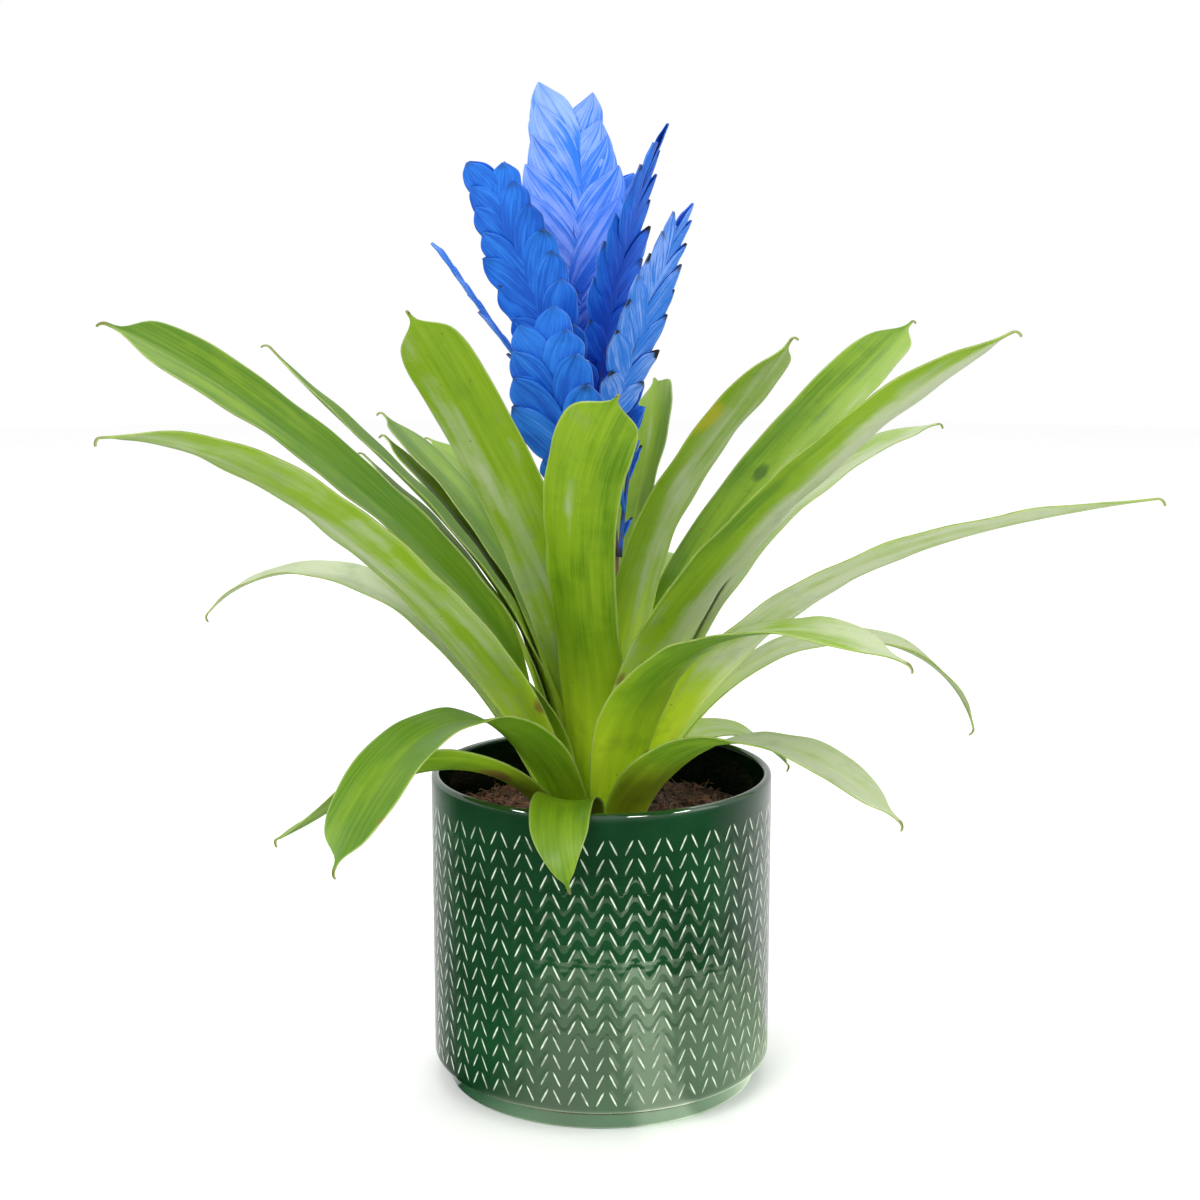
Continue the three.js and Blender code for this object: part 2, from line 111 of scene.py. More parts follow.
# Leaf rows: turn round the axis, sway, ring, four headings above the level from root to tip,
# length, width, twist and rise of the sheath, all as in the solids, then the tone of the blade
# from deep to pale, whose pale end is painted sheen, how much paler its anticlockwise half is as
# painted sheen, how much paler its lower face is, which below zero is painted shade, its tip from
# blunt to pointed, and the length of its yellow-green foot
LEAVES = [
    (222, -4, 7, (100, 22, 52, 23), 312, 32, -46, 58, 0.12, 0.0, 0.0, -1.0, 50),
    (224, 4, 9, (77, 29, 52, 0), 308, 32, 11, 62, 0.62, 0.08, 0.0, -0.5, 70),
    (163, 0, 8, (64, 62, 23, -49), 228, 29, -6, 54, 0.95, 0.0, 0.0, 0.1, 60),
    (186, -3, 3, (97, 62, 33, 48), 252, 26, -3, 72, 0.15, 0.0, 0.0, 0.0, 80),
    (145, -3, 2, (98, 63, 34, 33), 222, 32, 10, 76, 0.12, 0.0, 0.0, -0.4, 80),
    (154, -9, 5, (100, 68, 37, 31), 207, 26, 10, 67, 0.2, 0.0, 0.0, 0.2, 80),
    (188, -12, 6, (96, 80, 38, 43), 190, 25, 2, 65, 0.2, 0.0, 0.0, 0.2, 70),
    (229, 5, 0, (101, 56, 56, 42), 260, 28, 41, 87, 0.62, -0.2, 0.1, -1.0, 60),
    (258, 14, 2, (103, 42, 38, 35), 258, 31, -17, 73, 0.24, 0.08, 0.0, -1.0, 70),
    (61, 16, 0, (103, 74, 50, 19), 235, 30, -34, 89, 0.4, 0.2, 0.0, -0.6, 80),
    (314, -4, 1, (89, 106, 19, 48), 249, 31, 4, 76, 0.52, 0.25, 0.0, -0.8, 90),
    (36, 1, 3, (93, 45, 36, 33), 290, 32, 19, 76, 0.4, -0.15, 0.0, -0.9, 70),
    (305, 6, 5, (104, 17, 50, 26), 308, 33, 1, 74, 0.46, 0.6, 0.0, -0.7, 80),
    (25, -2, 4, (82, 61, 39, 10), 246, 27, 9, 73, 0.9, 0.0, 0.0, 0.0, 80),
    (316, 4, 6, (73, 37, 20, 10), 299, 32, -7, 65, 0.75, 0.1, 0.0, 0.1, 85),
    (282, 15, 8, (91, 3, 49, -22), 252, 30, 9, 57, 0.86, 0.0, -0.62, -0.2, 66),
    (5, 4, 7, (77, 48, -2, -74), 212, 28, 4, 61, 0.95, 0.0, -0.2, 0.2, 70),
    (295, 10, 9, (49, 34, 13, -40), 192, 31, -3, 52, 0.95, 0.0, -0.8, 0.1, 42),
    (43, 1, 8, (70, 3, -22, -43), 127, 25, 17, 54, 0.6, 0.0, -0.2, 0.3, 50),
    (237, 1, 10, (64, 52, -27, -51), 202, 32, 1, 57, -0.05, 0.0, -0.05, -0.6, 25),
    (218, 9, 12, (52, 27, -34, 0), 168, 33, 35, 50, 0.3, 0.0, -0.1, -0.5, 45),
    (254, 8, 13, (56, 42, -12, -98), 94, 26, -12, 44, 0.15, 0.0, -0.1, 0.8, 22),
    (85, 4, 1, (92, 59, 51, 33), 251, 29, 7, 85, 0.5, 0.2, 0.0, -0.3, 90),
    (121, 3, 4, (100, 59, 31, 11), 231, 30, 8, 70, 0.5, 0.0, 0.0, 0.0, 80),
    (79, -3, 5, (72, 48, 20, -20), 207, 30, 5, 67, 0.5, 0.1, -0.1, 0.0, 70),
    (94, 4, 9, (60, 30, -10, -50), 135, 29, 4, 48, 0.4, 0.0, -0.2, 0.2, 50),
]

# Marks on the leaves: leaf, place along it from 0 to 1, place across it from -1 to 1, size in
# millimetres, and kind: dry and brown, sun-bleached and yellow, or bruised and dark
MARKS = [
    (21, 0.30, 0.3, 11, "dry"), (21, 0.42, -0.5, 6, "dry"), (20, 0.9, 0.95, 3, "dry"),
    (11, 0.82, -0.95, 13, "bleached"), (12, 0.60, 0.25, 7, "bruised"), (16, 0.16, 0.9, 6, "dry"),
    (2, 0.22, 0.95, 6, "dry"), (13, 0.24, -0.9, 5, "dry"), (4, 0.99, 0.0, 4, "dry"),
]

# Leaf, as in the solids: height of its root, distance of the rings from the axis, sheath, channel
# and twist, then the hook that thins out past its end, and falls by an angle in radians
LEAF_ROOT = 113.9
RING_START = 8.6
RING_STEP = 1.25
SHEATH_LENGTH = 34
SHEATH_WIDTH = 0.7
CHANNEL_RADIUS = 45
CHANNEL_RUN = 110
TWIST_START = 25
TWIST_RUN = 80
LEAF_THICKNESS = 0.8
LEAF_STEPS = 60
LEAF_TIP_HALF = 0.7
HOOK_STEPS = 8
HOOK_LENGTH = 4.5
HOOK_FALL = 1.7
HOOK_TIP_HALF = 0.22

# Relief of a blade: where it starts past the sheath, its crease, and the waves of its edge
RELIEF_START = 50
RELIEF_RUN = 60
CREASE_DEPTH = 0.8
CREASE_HALF = 0.55
LONG_WAVE = 9.0
SHORT_WAVE = 4.6

# Values that each point of a blade carries for its material
LEAF_LAYERS = ("side", "share", "tone", "under", "draw", "foot", "dry", "bleached", "bruised")

# Bract spike rows: height of the root, way it faces, lean, bend, sideways lean and length, all as
# in the solids, then the count and size of its bracts, which stand closer than the solids' plain
# ones, the tone of its dye from deep to pale, how dry its margins are, and how far its face turns
SPIKES = [
    (306, 265, -7, 1, -4, 134, 14, 1.05, 0.72, 0.12, 0),
    (284, 242, 17, 0, -14, 141, 16, 0.86, 0.25, 0.9, 0),
    (295, 314, 6, 26, 2, 140, 15, 0.74, 0.2, 0.7, 40),
    (279, 318, 18, 9, 2, 121, 15, 0.78, 0.62, 1.0, 12),
    (274, 180, 35, 1, 0, 130, 9, 0.66, 0.6, 0.7, 0),
    (244, 246, 32, -36, -11, 103, 11, 0.96, 0.3, 0.9, 0),
    (258, 40, 14, 0, 0, 61, 7, 0.45, 0.2, 0.6, 0),
    (263, 116, 18, 0, 12, 145, 12, 0.6, 0.3, 0.6, 0),
    (286, 90, 12, 0, -6, 130, 12, 0.72, 0.6, 0.4, 0),
    (248, 88, 22, 0, 0, 92, 9, 0.6, 0.3, 0.5, 0),
    (232, 320, 1, 9, 5, 62, 4, 0.46, 0.45, 0.9, 0),
]

# Spikes whose bracts are slimmer than the solids' plain ones, by a share of the width
SLIM = {11: 0.2, 7: 0.8, 5: 0.46}

# Spikes whose bracts end in a point, and how much narrower they get towards the spike's top
TAPER = {1: 0.05, 3: 0.5, 4: 0.5, 5: 0.4, 11: 0.3}

# Stalk, as in the solids: points that its middle passes, and a slight unevenness of its radius
STALK_POINTS = [
    (0, 0, 113.9), (2, 1, 180), (4, 4, 240), (0, 5, 268), (-5, 6, 292), (-8, 6, 306),
]
STALK_FOOT_RADIUS = 4.8
STALK_TOP_RADIUS = 2.6
STALK_STEPS = 64
STALK_SIDES = 24
STALK_SWELL = 0.12

# Core of a spike, and the steps along the spike between which its bracts start
CORE_HALF = 1.1
CORE_CUTS = 9
SPIKE_STEPS = 24
FIRST_BRACT_STEP = 2.6
LAST_BRACT_STEP = SPIKE_STEPS - 7
CORE_LAST_STEP = SPIKE_STEPS - 4

# Bract: angle off the spike in degrees at its foot and top, faces across and along, length, width,
# and how far one curls and lifts out of the spike's face
BRACT_ANGLE = 26
BRACT_TIP_ANGLE = 11
BRACT_FACES = (12, 14)
BRACT_REACH = 41
BRACT_WIDTH = 24
BRACT_CURL = 1.4
BRACT_LIFT = 0.7

# Stage, in metres: the floor, a half card that the pot mirrors, lamps that give the white
# highlights on its rim, and lights as name, place, height that they aim at, size and power
FLOOR_RADIUS = 4.0
CARD_RADIUS = 0.225
CARD_PLACE = (0, -0.048, 0.0001)
CARD_CUT = math.radians(-68)
CARD_COLOUR = (0.86, 1.0, 0.74)
RIM_LAMPS = [(0.38, -0.83, 0.68), (0.72, -0.45, 0.75), (-0.72, -0.45, 0.75)]
RIM_LAMP_RADIUS = 0.12
RIM_LAMP_POWER = 50.0
LIGHTS = [
    ("key", (-1.1, -1.3, 1.5), 0.25, 1.2, 20),
    ("fill", (1.5, -0.7, 1.1), 0.2, 1.2, 6),
    ("top", (0.1, 0.9, 1.9), 0.2, 1.6, 16),
]
AMBIENT = 1.04
CAMERA_SIDE = -0.00064


def smooth(t):
    u = min(max(t, 0.0), 1.0)
    return u * u * (3 - 2 * u)


def lerp(a, b, t):
    return a + (b - a) * t


def tinted(colour, amount):
    """The colour made darker or paler."""
    return tuple(min(c * amount, 1) for c in colour)


class Draws:
    """Repeatable draws between 0 and 1."""

    def __init__(self, seed):
        self.state = seed

    def __call__(self):
        self.state = (self.state * 1664525 + 1013904223) % 4294967296
        return self.state / 4294967296


def colour_property(name, description, default):
    return bpy.props.FloatVectorProperty(
        name=name, description=description, default=default,
        size=3, subtype="COLOR", min=0, max=1,
    )


def length_property(name, description, default):
    return bpy.props.FloatProperty(
        name=name, description=description, default=default, unit="LENGTH",
    )


class PotProperties(bpy.types.PropertyGroup):
    """Sizes and colours of the pot, the peat and the flower stalk"""

    groove_depth: length_property(
        "Groove depth", "How deep the slanted dashes are pressed into the wall", 0.00035,
    )
    glaze: colour_property("Glaze", "Colour of the pot's glaze", (0.008, 0.050, 0.017))
    groove: colour_property(
        "Thin glaze", "Colour where the glaze runs thin in the dashes", (0.78, 0.88, 0.72),
    )
    peat: colour_property("Peat", "Colour of the moist peat", (0.095, 0.040, 0.020))
    stalk: colour_property("Stalk", "Colour of the flower stalk", (0.10, 0.045, 0.035))


class LeafProperties(bpy.types.PropertyGroup):
    """Sizes and colours of the leaves"""

    across: bpy.props.IntProperty(
        name="Faces across", description="Faces across a blade before it is smoothed",
        default=12, min=4, max=24,
    )
    wave: length_property("Edge wave", "How far a blade's edge waves up and down", 0.0005)
    # Yellow-green of the sheaths: own colour made extra bright as painted light shining through
    # them
    base: colour_property(
        "Sheath green", "Yellow-green at the foot of a leaf", (0.68, 0.92, 0.03),
    )
    deep: colour_property("Deep green", "Darkest green of a blade", (0.075, 0.19, 0.003))
    fresh: colour_property("Fresh green", "Middle green of a blade", (0.19, 0.33, 0.008))
    # Palest colour of a blade is painted sheen: pale streaks that stand in for glossy reflections
    pale_sheen: colour_property("Painted sheen", "Palest greyish streaks of a blade", (0.43, 0.49, 0.31))


class BractProperties(bpy.types.PropertyGroup):
    """Sizes and colours of the flower head"""

    thickness: length_property("Bract thickness", "Thickness of a bract", 0.00032)
    deep: colour_property("Deep dye", "Blue where the dye is strongest", (0.004, 0.085, 0.52))
    middle: colour_property("Middle dye", "Blue between the two", (0.018, 0.18, 0.74))
    pale: colour_property("Pale dye", "Blue where the dye is weakest", (0.27, 0.42, 0.93))
    margin: colour_property(
        "Dark margin", "Colour of the dried tips and margins", (0.012, 0.016, 0.020),
    )
    fold: colour_property("Pale fold", "Colour of the fold of a bract", (0.22, 0.38, 0.90))


class StageProperties(bpy.types.PropertyGroup):
    """Lens and place of the camera"""

    lens: bpy.props.FloatProperty(
        name="Lens", description="Focal length on a 36 mm sensor", default=56.6, unit="CAMERA",
    )
    height: length_property("Camera height", "Height of the camera above the floor", 0.3504)
    distance: length_property(
        "Camera distance", "Distance of the camera in front of the pot's axis", 0.8106,
    )
    pitch: bpy.props.FloatProperty(
        name="Camera pitch", description="How far the camera looks down",
        default=math.radians(9.61), subtype="ANGLE",
    )


class Shader:
    """Nodes of a material or of the sky, made one after the other."""

    def __init__(self, name, kind="materials"):
        self.owner = getattr(bpy.data, kind).new(name)
        self.owner.use_nodes = True
        self.tree = self.owner.node_tree
        self.tree.nodes.clear()

    def node(self, kind, **settings):
        made = self.tree.nodes.new(kind)
        for key, value in settings.items():
            setattr(made, key, value)
        return made

    def put(self, value, socket):
        """Links a socket, or sets what it holds."""
        if isinstance(value, bpy.types.NodeSocket):
            self.tree.links.new(value, socket)
        elif socket.type == "RGBA":
            socket.default_value = (*value, 1)
        else:
            socket.default_value = value

    def fill(self, made, *values):
        """Puts values into a node's first sockets, and gives back its first output."""
        for value, socket in zip(values, made.inputs):
            self.put(value, socket)
        return made.outputs[0]

    def math(self, operation, *values):
        return self.fill(self.node("ShaderNodeMath", operation=operation), *values)

    def times(self, a, b):
        return self.math("MULTIPLY", a, b)

    def add(self, total, *others):
        for other in others:
            total = self.math("ADD", total, other)
        return total

    def swing(self, value, amount):
        """How far a value lies from one half, times an amount."""
        return self.times(self.math("SUBTRACT", value, 0.5), amount)

    def span(self, value, low, high, out_low=0.0, out_high=1.0, kind="SMOOTHSTEP"):
        """Step of a value between low and high, smooth unless told."""
        made = self.node("ShaderNodeMapRange", interpolation_type=kind)
        return self.fill(made, value, low, high, out_low, out_high)

    def mix(self, factor, a, b):
        """Colour between two."""
        made = self.node("ShaderNodeMix", data_type="RGBA")
        for value, index in ((factor, 0), (a, 6), (b, 7)):
            self.put(value, made.inputs[index])
        return made.outputs[2]

    def mix_values(self, factor, a, b):
        """Number between two."""
        made = self.node("ShaderNodeMix")
        for value, index in ((factor, 0), (a, 2), (b, 3)):
            self.put(value, made.inputs[index])
        return made.outputs[0]

    def noise(self, vector, scale, detail, roughness=0.5):
        made = self.node("ShaderNodeTexNoise")
        self.put(vector, made.inputs["Vector"])
        self.put(scale, made.inputs["Scale"])
        self.put(detail, made.inputs["Detail"])
        self.put(roughness, made.inputs["Roughness"])
        return made.outputs["Fac"]

    def drawn_out(self, across, along, seed, scales, detail, roughness):
        """Noise that is fine across a blade and slow along it."""
        place = self.combine(self.times(across, scales[0]), self.times(along, scales[1]), seed)
        return self.noise(place, 1.0, detail, roughness)

    def object_place(self):
        return self.node("ShaderNodeTexCoord").outputs["Object"]

    def split(self, vector):
        """The three parts of a place."""
        made = self.node("ShaderNodeSeparateXYZ")
        self.put(vector, made.inputs[0])
        return made.outputs

    def surface_place(self, layer):
        """Place across and along a blade, from its own map."""
        across, along, _ = self.split(self.node("ShaderNodeUVMap", uv_map=layer).outputs[0])
        return across, along

    def attribute(self, name):
        return self.node("ShaderNodeAttribute", attribute_name=name).outputs["Fac"]

    def combine(self, x, y, z):
        return self.fill(self.node("ShaderNodeCombineXYZ"), x, y, z)

    def bump(self, height, strength, distance, normal=None):
        made = self.node("ShaderNodeBump")
        self.put(height, made.inputs["Height"])
        self.put(strength, made.inputs["Strength"])
        self.put(distance, made.inputs["Distance"])
        if normal is not None:
            self.put(normal, made.inputs["Normal"])
        return made.outputs[0]

    def finish(self, **inputs):
        """Ends a material in one shader with the given inputs."""
        shader = self.node("ShaderNodeBsdfPrincipled")
        for name, value in inputs.items():
            title = name.replace("_", " ").title().replace("Ior", "IOR")
            self.put(value, shader.inputs[title])
        return self.close(shader.outputs[0])

    def close(self, result, output="ShaderNodeOutputMaterial"):
        """Links the last shader to the output."""
        self.put(result, self.node(output).inputs[0])
        return self.owner


def patchy_material(name, dark, pale, scale, patches, **finish):
    """A plain finish whose colour wanders between two shades."""
    s = Shader(name)
    patch = s.noise(s.object_place(), scale, 2)
    return s.finish(base_color=s.mix(s.span(patch, *patches), dark, pale), **finish)


def chevron_ridges(s, place):
    """Soft ridges of the glaze that follow the rows of dashes, as a height."""
    x, y, z = s.split(place)
    turn = s.math("SUBTRACT", s.math("ARCTAN2", y, x), math.radians(PATTERN_TURN))
    fold = s.times(s.math("COSINE", s.times(turn, COLUMNS / 2)), RIDGE_SWAY)
    row = s.math("DIVIDE", s.math("SUBTRACT", z, ROW_BOTTOM * MM), ROW_PITCH * MM)
    wave = s.math("COSINE", s.times(s.add(row, fold), math.tau))
    inside = s.times(s.span(row, 0.1, 0.6), s.span(row, ROWS - 0.1, ROWS - 0.6))
    return s.times(s.times(wave, -0.5), inside)


def glaze_material(name, colour, ridged=False, shine=1.0):
    """Glossy, faintly clouded glaze, with ridges on the patterned wall."""
    s = Shader(name)
    place = s.object_place()
    cloud = s.noise(place, 22, 3)
    fine = s.noise(place, 260, 2)
    shade = s.mix(s.span(cloud, 0.3, 0.7), tinted(colour, 0.75), tinted(colour, 1.3))
    waves = s.bump(s.noise(place, 60, 1), 0.10, 0.0005)
    if ridged:
        waves = s.bump(chevron_ridges(s, place), 1.0, RIDGE_BUMP, waves)
    return s.finish(
        base_color=shade, roughness=s.span(fine, 0.2, 0.8, 0.03, 0.06), normal=waves,
        coat_weight=shine, coat_roughness=0.03, coat_ior=1.5, ior=1.5,
        specular_ior_level=0.5 * shine,
    )


def peat_material(colour):
    """Moist peat: dark clods with paler grains."""
    s = Shader("moist peat")
    place = s.object_place()
    clods = s.noise(place, 260, 4)
    grain = s.noise(place, 1400, 3)
    brown = s.mix(s.span(clods, 0.42, 0.62), tinted(colour, 0.35), tinted(colour, 2.2))
    shade = s.mix(s.span(grain, 0.56, 0.66), brown, (0.34, 0.17, 0.10))
    height = s.add(clods, s.times(grain, 0.5))
    return s.finish(base_color=shade, roughness=0.9, normal=s.bump(height, 1.0, 0.0025))


def stalk_material(colour):
    """Brown stalk with fine upright lines, green at its foot."""
    s = Shader("flower stalk")
    x, y, z = s.split(s.object_place())
    lines = s.noise(s.combine(x, y, s.times(z, 0.06)), 1400, 3)
    brown = s.mix(s.span(lines, 0.35, 0.65), colour, tinted(colour, 2.6))
    shade = s.mix(s.span(z, 0.13, 0.17), (0.20, 0.27, 0.03), brown)
    return s.finish(base_color=shade, roughness=0.5, normal=s.bump(lines, 0.3, 0.0003))


def crown_material(pale):
    """Packed leaf bases, brownish green in patches of the sheath green, which is made extra bright
    as painted light.
    """
    s = Shader("leaf bases")
    patch = s.noise(s.object_place(), 120, 3)
    shade = s.mix(s.span(patch, 0.35, 0.65), (0.16, 0.19, 0.03), pale)
    return s.finish(base_color=shade, roughness=0.6, normal=s.bump(patch, 0.4, 0.0006))


def leaf_material(name, settings, upper):
    """Green of one face of the leaves: veins, mottling, painted sheen, a painted highlight along
    the edge, a painted glow at the foot, specks and dry patches.
    """
    s = Shader(name)
    over, run = s.surface_place("leaf")
    place = s.object_place()
    seed = s.times(s.attribute("draw"), 90.0)
    veins = s.drawn_out(over, run, seed, (130.0, 2.0), 2, 0.6)
    streaks = s.drawn_out(over, run, seed, (17.0, 1.3), 3, 0.6)
    broad = s.drawn_out(over, run, seed, (5.0, 0.9), 2, 0.5)
    patches = s.noise(place, 42, 4, 0.62)
    # Paleness from deep through fresh green to the painted sheen
    pale_sheen = s.add(
        s.attribute("tone"), s.swing(streaks, 0.85), s.swing(broad, 1.3), s.swing(patches, 0.7),
    )
    # The lower face's offset: below zero it is painted shade that also takes off painted sheen
    if not upper:
        pale_sheen = s.add(pale_sheen, s.attribute("under"))
    green = s.mix(s.span(pale_sheen, 0.0, 0.5), settings.deep, settings.fresh)
    green = s.mix(s.span(pale_sheen, 0.5, 1.05), green, settings.pale_sheen)
    # Yellow-green foot: own colour made extra bright as painted light shining through the sheaths
    past_foot = s.add(s.attribute("foot"), s.swing(streaks, 0.6))
    green = s.mix(s.span(past_foot, -0.6, 0.35, 1.0, 0.0), green, settings.base)
    edge = s.math("ABSOLUTE", s.attribute("side"))
    tip = s.add(s.attribute("share"), s.times(patches, 0.012))
    blur = s.swing(patches, 0.9)
    bleached, bruised, dry = (
        s.add(s.attribute(kind), blur) for kind in ("bleached", "bruised", "dry")
    )
    for value, low, high, most, colour in (
        (veins, 0.35, 0.7, 0.22, (0.34, 0.47, 0.05)),
        (patches, 0.52, 0.72, 0.25, (0.04, 0.13, 0.004)),
        # A pale line along the edge: painted highlight
        (edge, 0.93, 1.0, 0.45, (0.48, 0.56, 0.20)),
        (s.noise(place, 520, 1), 0.76, 0.80, 0.6, (0.16, 0.085, 0.02)),
        (bleached, 0.35, 0.8, 0.6, (0.52, 0.42, 0.02)),
        (bruised, 0.35, 0.8, 0.7, (0.02, 0.08, 0.012)),
        (dry, 0.35, 0.8, 0.8, (0.22, 0.12, 0.035)),
        (tip, 1.0, 1.02, 0.8, (0.16, 0.12, 0.04)),
    ):
        green = s.mix(s.span(value, low, high, 0.0, most), green, colour)
    gloss, low, high = (0.24, 0.30, 0.42) if upper else (0.18, 0.34, 0.48)
    height = s.add(veins, s.times(patches, 0.5))
    return s.finish(
        base_color=green, roughness=s.span(patches, 0.25, 0.75, low, high),
        normal=s.bump(height, 0.12, 0.0003), specular_ior_level=gloss,
    )


def bract_material(settings):
    """Blue dye that runs in brush-like streaks, with dark dry margins and a pale fold."""
    s = Shader("dyed bract")
    across, along = s.surface_place("bract")
    tone = s.attribute("tone")
    seed = s.times(tone, 53.0)
    side = s.math("ABSOLUTE", s.math("SUBTRACT", s.times(across, 2.0), 1.0))
    fan = s.add(side, s.times(along, 0.25))
    fine = s.drawn_out(fan, along, seed, (16.0, 1.3), 4, 0.7)
    broad = s.drawn_out(fan, along, seed, (4.5, 1.0), 2, 0.5)
    blot = s.noise(s.object_place(), 60, 3, 0.55)
    wash = s.add(
        tone, s.swing(fine, 1.6), s.swing(broad, 0.7), s.swing(blot, 0.6),
        s.span(along, 0.35, 1.0, -0.05, 0.06),
    )
    blue = s.mix(s.span(wash, 0.0, 0.5), settings.deep, settings.middle)
    blue = s.mix(s.span(wash, 0.5, 1.0), blue, settings.pale)
    blue = s.mix(s.span(fine, 0.64, 0.82, 0.0, 0.3), blue, (0.06, 0.06, 0.42))
    wander = s.swing(blot, 0.26)
    keel = s.times(s.span(s.add(side, wander), 0.10, 0.0), s.span(along, 0.45, 0.85))
    tip = s.span(s.add(along, wander), 0.92, 1.0)
    dark = s.times(s.math("MAXIMUM", tip, s.times(keel, 0.7)), s.attribute("dry"))
    blue = s.mix(dark, blue, settings.margin)
    line = s.times(s.span(side, 0.05, 0.01), s.span(along, 0.35, 0.7, 0.0, 0.55))
    blue = s.mix(line, blue, settings.fold)
    return s.finish(
        base_color=blue, roughness=s.span(blot, 0.3, 0.7, 0.5, 0.65),
        normal=s.bump(s.add(fine, broad), 0.3, 0.0005), specular_ior_level=0.2,
    )


def new_object(bm, name, materials):
    """Puts a finished bmesh into the scene."""
    mesh = bpy.data.meshes.new(name)
    bm.to_mesh(mesh)
    bm.free()
    for material in materials:
        mesh.materials.append(material)
    made = bpy.data.objects.new(name, mesh)
    bpy.context.scene.collection.objects.link(made)
    return made


def piece_from(bm, name, materials, nodes):
    """Makes a bmesh a piece of the plant, which stands for the given nodes."""
    made = new_object(bm, name, materials)
    made.data.shade_smooth()
    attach(made, "root")
    if nodes:
        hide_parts(*nodes)
    return made


def thicken(sheet, thickness, lower_face=0, edge=0):
    """Gives a thin piece its wall and rounds its mesh."""
    shell = sheet.modifiers.new("thickness", "SOLIDIFY")
    shell.thickness = thickness
    shell.offset = 0
    shell.material_offset = lower_face
    shell.material_offset_rim = edge
    soften = sheet.modifiers.new("soften", "SUBSURF")
    soften.levels = 1
    soften.render_levels = 1


def spun(profile, steps):
    """A bmesh turned from a profile of radius and height in millimetres."""
    bm = bmesh.new()
    points = [bm.verts.new((r * MM, 0, z * MM)) for r, z in profile]
    edges = [bm.edges.new(pair) for pair in zip(points, points[1:])]
    bmesh.ops.spin(
        bm, geom=points + edges, cent=(0, 0, 0), axis=(0, 0, 1), angle=math.tau,
        steps=steps, use_merge=True, use_duplicate=False,
    )
    bmesh.ops.remove_doubles(bm, verts=bm.verts, dist=1e-6)
    bmesh.ops.recalc_face_normals(bm, faces=bm.faces)
    return bm


def is_upright(edge):
    low, high = (v.co.z for v in edge.verts)
    return abs(low - high) > 1e-4


def cut_rod(bm, ends, cuts):
    """Cuts the long edges of a new upright rod, and gives back all its vertices."""
    first = len(bm.verts) - len(ends)
    edges = list({edge for v in ends for edge in v.link_edges if is_upright(edge)})
    bmesh.ops.subdivide_edges(bm, edges=edges, cuts=cuts)
    bm.verts.ensure_lookup_table()
    return bm.verts[first:]


def pot_profile():
    """Outline of half the pot, from the middle of its underside round the rim to its floor."""
    profile = [(0, 0), (60, 0), (67.6, 0), (68.6, 0.4), (69, 1.4), (69, 6.8), (69.4, 7.7)]
    profile += [(70.6, 8.2), (72.9, 8.7), (74.3, 9.7), (74.9, 11.0)]
    levels = [0] + [level for level, _ in DASH_LEVELS]
    for row in range(ROWS):
        bottom = ROW_BOTTOM + row * ROW_PITCH
        profile += [(POT_RADIUS, bottom + level * ROW_PITCH) for level in levels]
    profile += [(POT_RADIUS, ROW_BOTTOM + ROWS * ROW_PITCH), (POT_RADIUS, WALL_TOP)]
    for i in range(7):
        angle = math.radians(i * 30)
        out, up = math.cos(angle) - 1, math.sin(angle) - 1
        profile.append((POT_RADIUS + RIM_ROUND * out, POT_HEIGHT + RIM_ROUND * up))
    profile += [(POT_INNER, height) for height in (130, 110, 60, 12)]
    return profile + [(68, 7.4), (60, POT_FLOOR), (0, POT_FLOOR)]


def lean_dashes(bm):
    """Moves the wall's uprights so that every column holds one slanted dash."""
    step = 360 / (COLUMNS * 3)
    for v in bm.verts:
        radius = math.hypot(v.co.x, v.co.y) / MM
        row_place = (v.co.z / MM - ROW_BOTTOM) / ROW_PITCH
        if radius < POT_RADIUS - 0.01 or not -0.01 < row_place < ROWS + 0.01:
            continue
        turn = math.degrees(math.atan2(v.co.y, v.co.x))
        index = round(turn / step) % (COLUMNS * 3)
        part = row_place - math.floor(row_place + 0.001)
        width, lean = 1.0, 0.0
        for level, share in DASH_LEVELS:
            if abs(part - level) < 0.02:
                width = share
                lean = (part - 0.5) * 2 * DASH_LEAN
        angle = index * step
        if index % 3:
            column = index // 3
            side = -1 if index % 3 == 1 else 1
            way = 1 if column % 2 == 0 else -1
            angle = (column + 0.5) * 3 * step
            angle += side * DASH_HALF_WIDTH * width + way * (lean + DASH_SHIFT)
        angle = math.radians(angle)
        fold = math.cos(angle * COLUMNS / 2)
        ridge = 0.5 + 0.5 * math.cos(math.tau * (row_place + RIDGE_SWAY * fold))
        edge = smooth(min(row_place, ROWS - row_place) / 0.6)
        radius = (POT_RADIUS - RIDGE_DEPTH * ridge * edge) * MM
        v.co.x = radius * math.cos(angle)
        v.co.y = radius * math.sin(angle)


def dash_faces(bm):
    """The faces in the middle of each column that lie between a dash's ends."""
    found = []
    first, last = DASH_LEVELS[0][0], DASH_LEVELS[-1][0]
    column = 360 / COLUMNS
    for face in bm.faces:
        middle = face.calc_center_median()
        radius = math.hypot(middle.x, middle.y) / MM
        row_place = (middle.z / MM - ROW_BOTTOM) / ROW_PITCH
        if radius < POT_RADIUS - 0.5 or not 0 < row_place < ROWS:
            continue
        if not first < row_place % 1 < last:
            continue
        turns = [math.degrees(math.atan2(v.co.y, v.co.x)) for v in face.verts]
        centre = math.degrees(math.atan2(middle.y, middle.x)) / column
        if max(turns) - min(turns) < DASH_FACE_SPAN and abs(centre % 1 - 0.5) < 0.3:
            found.append(face)
    return found


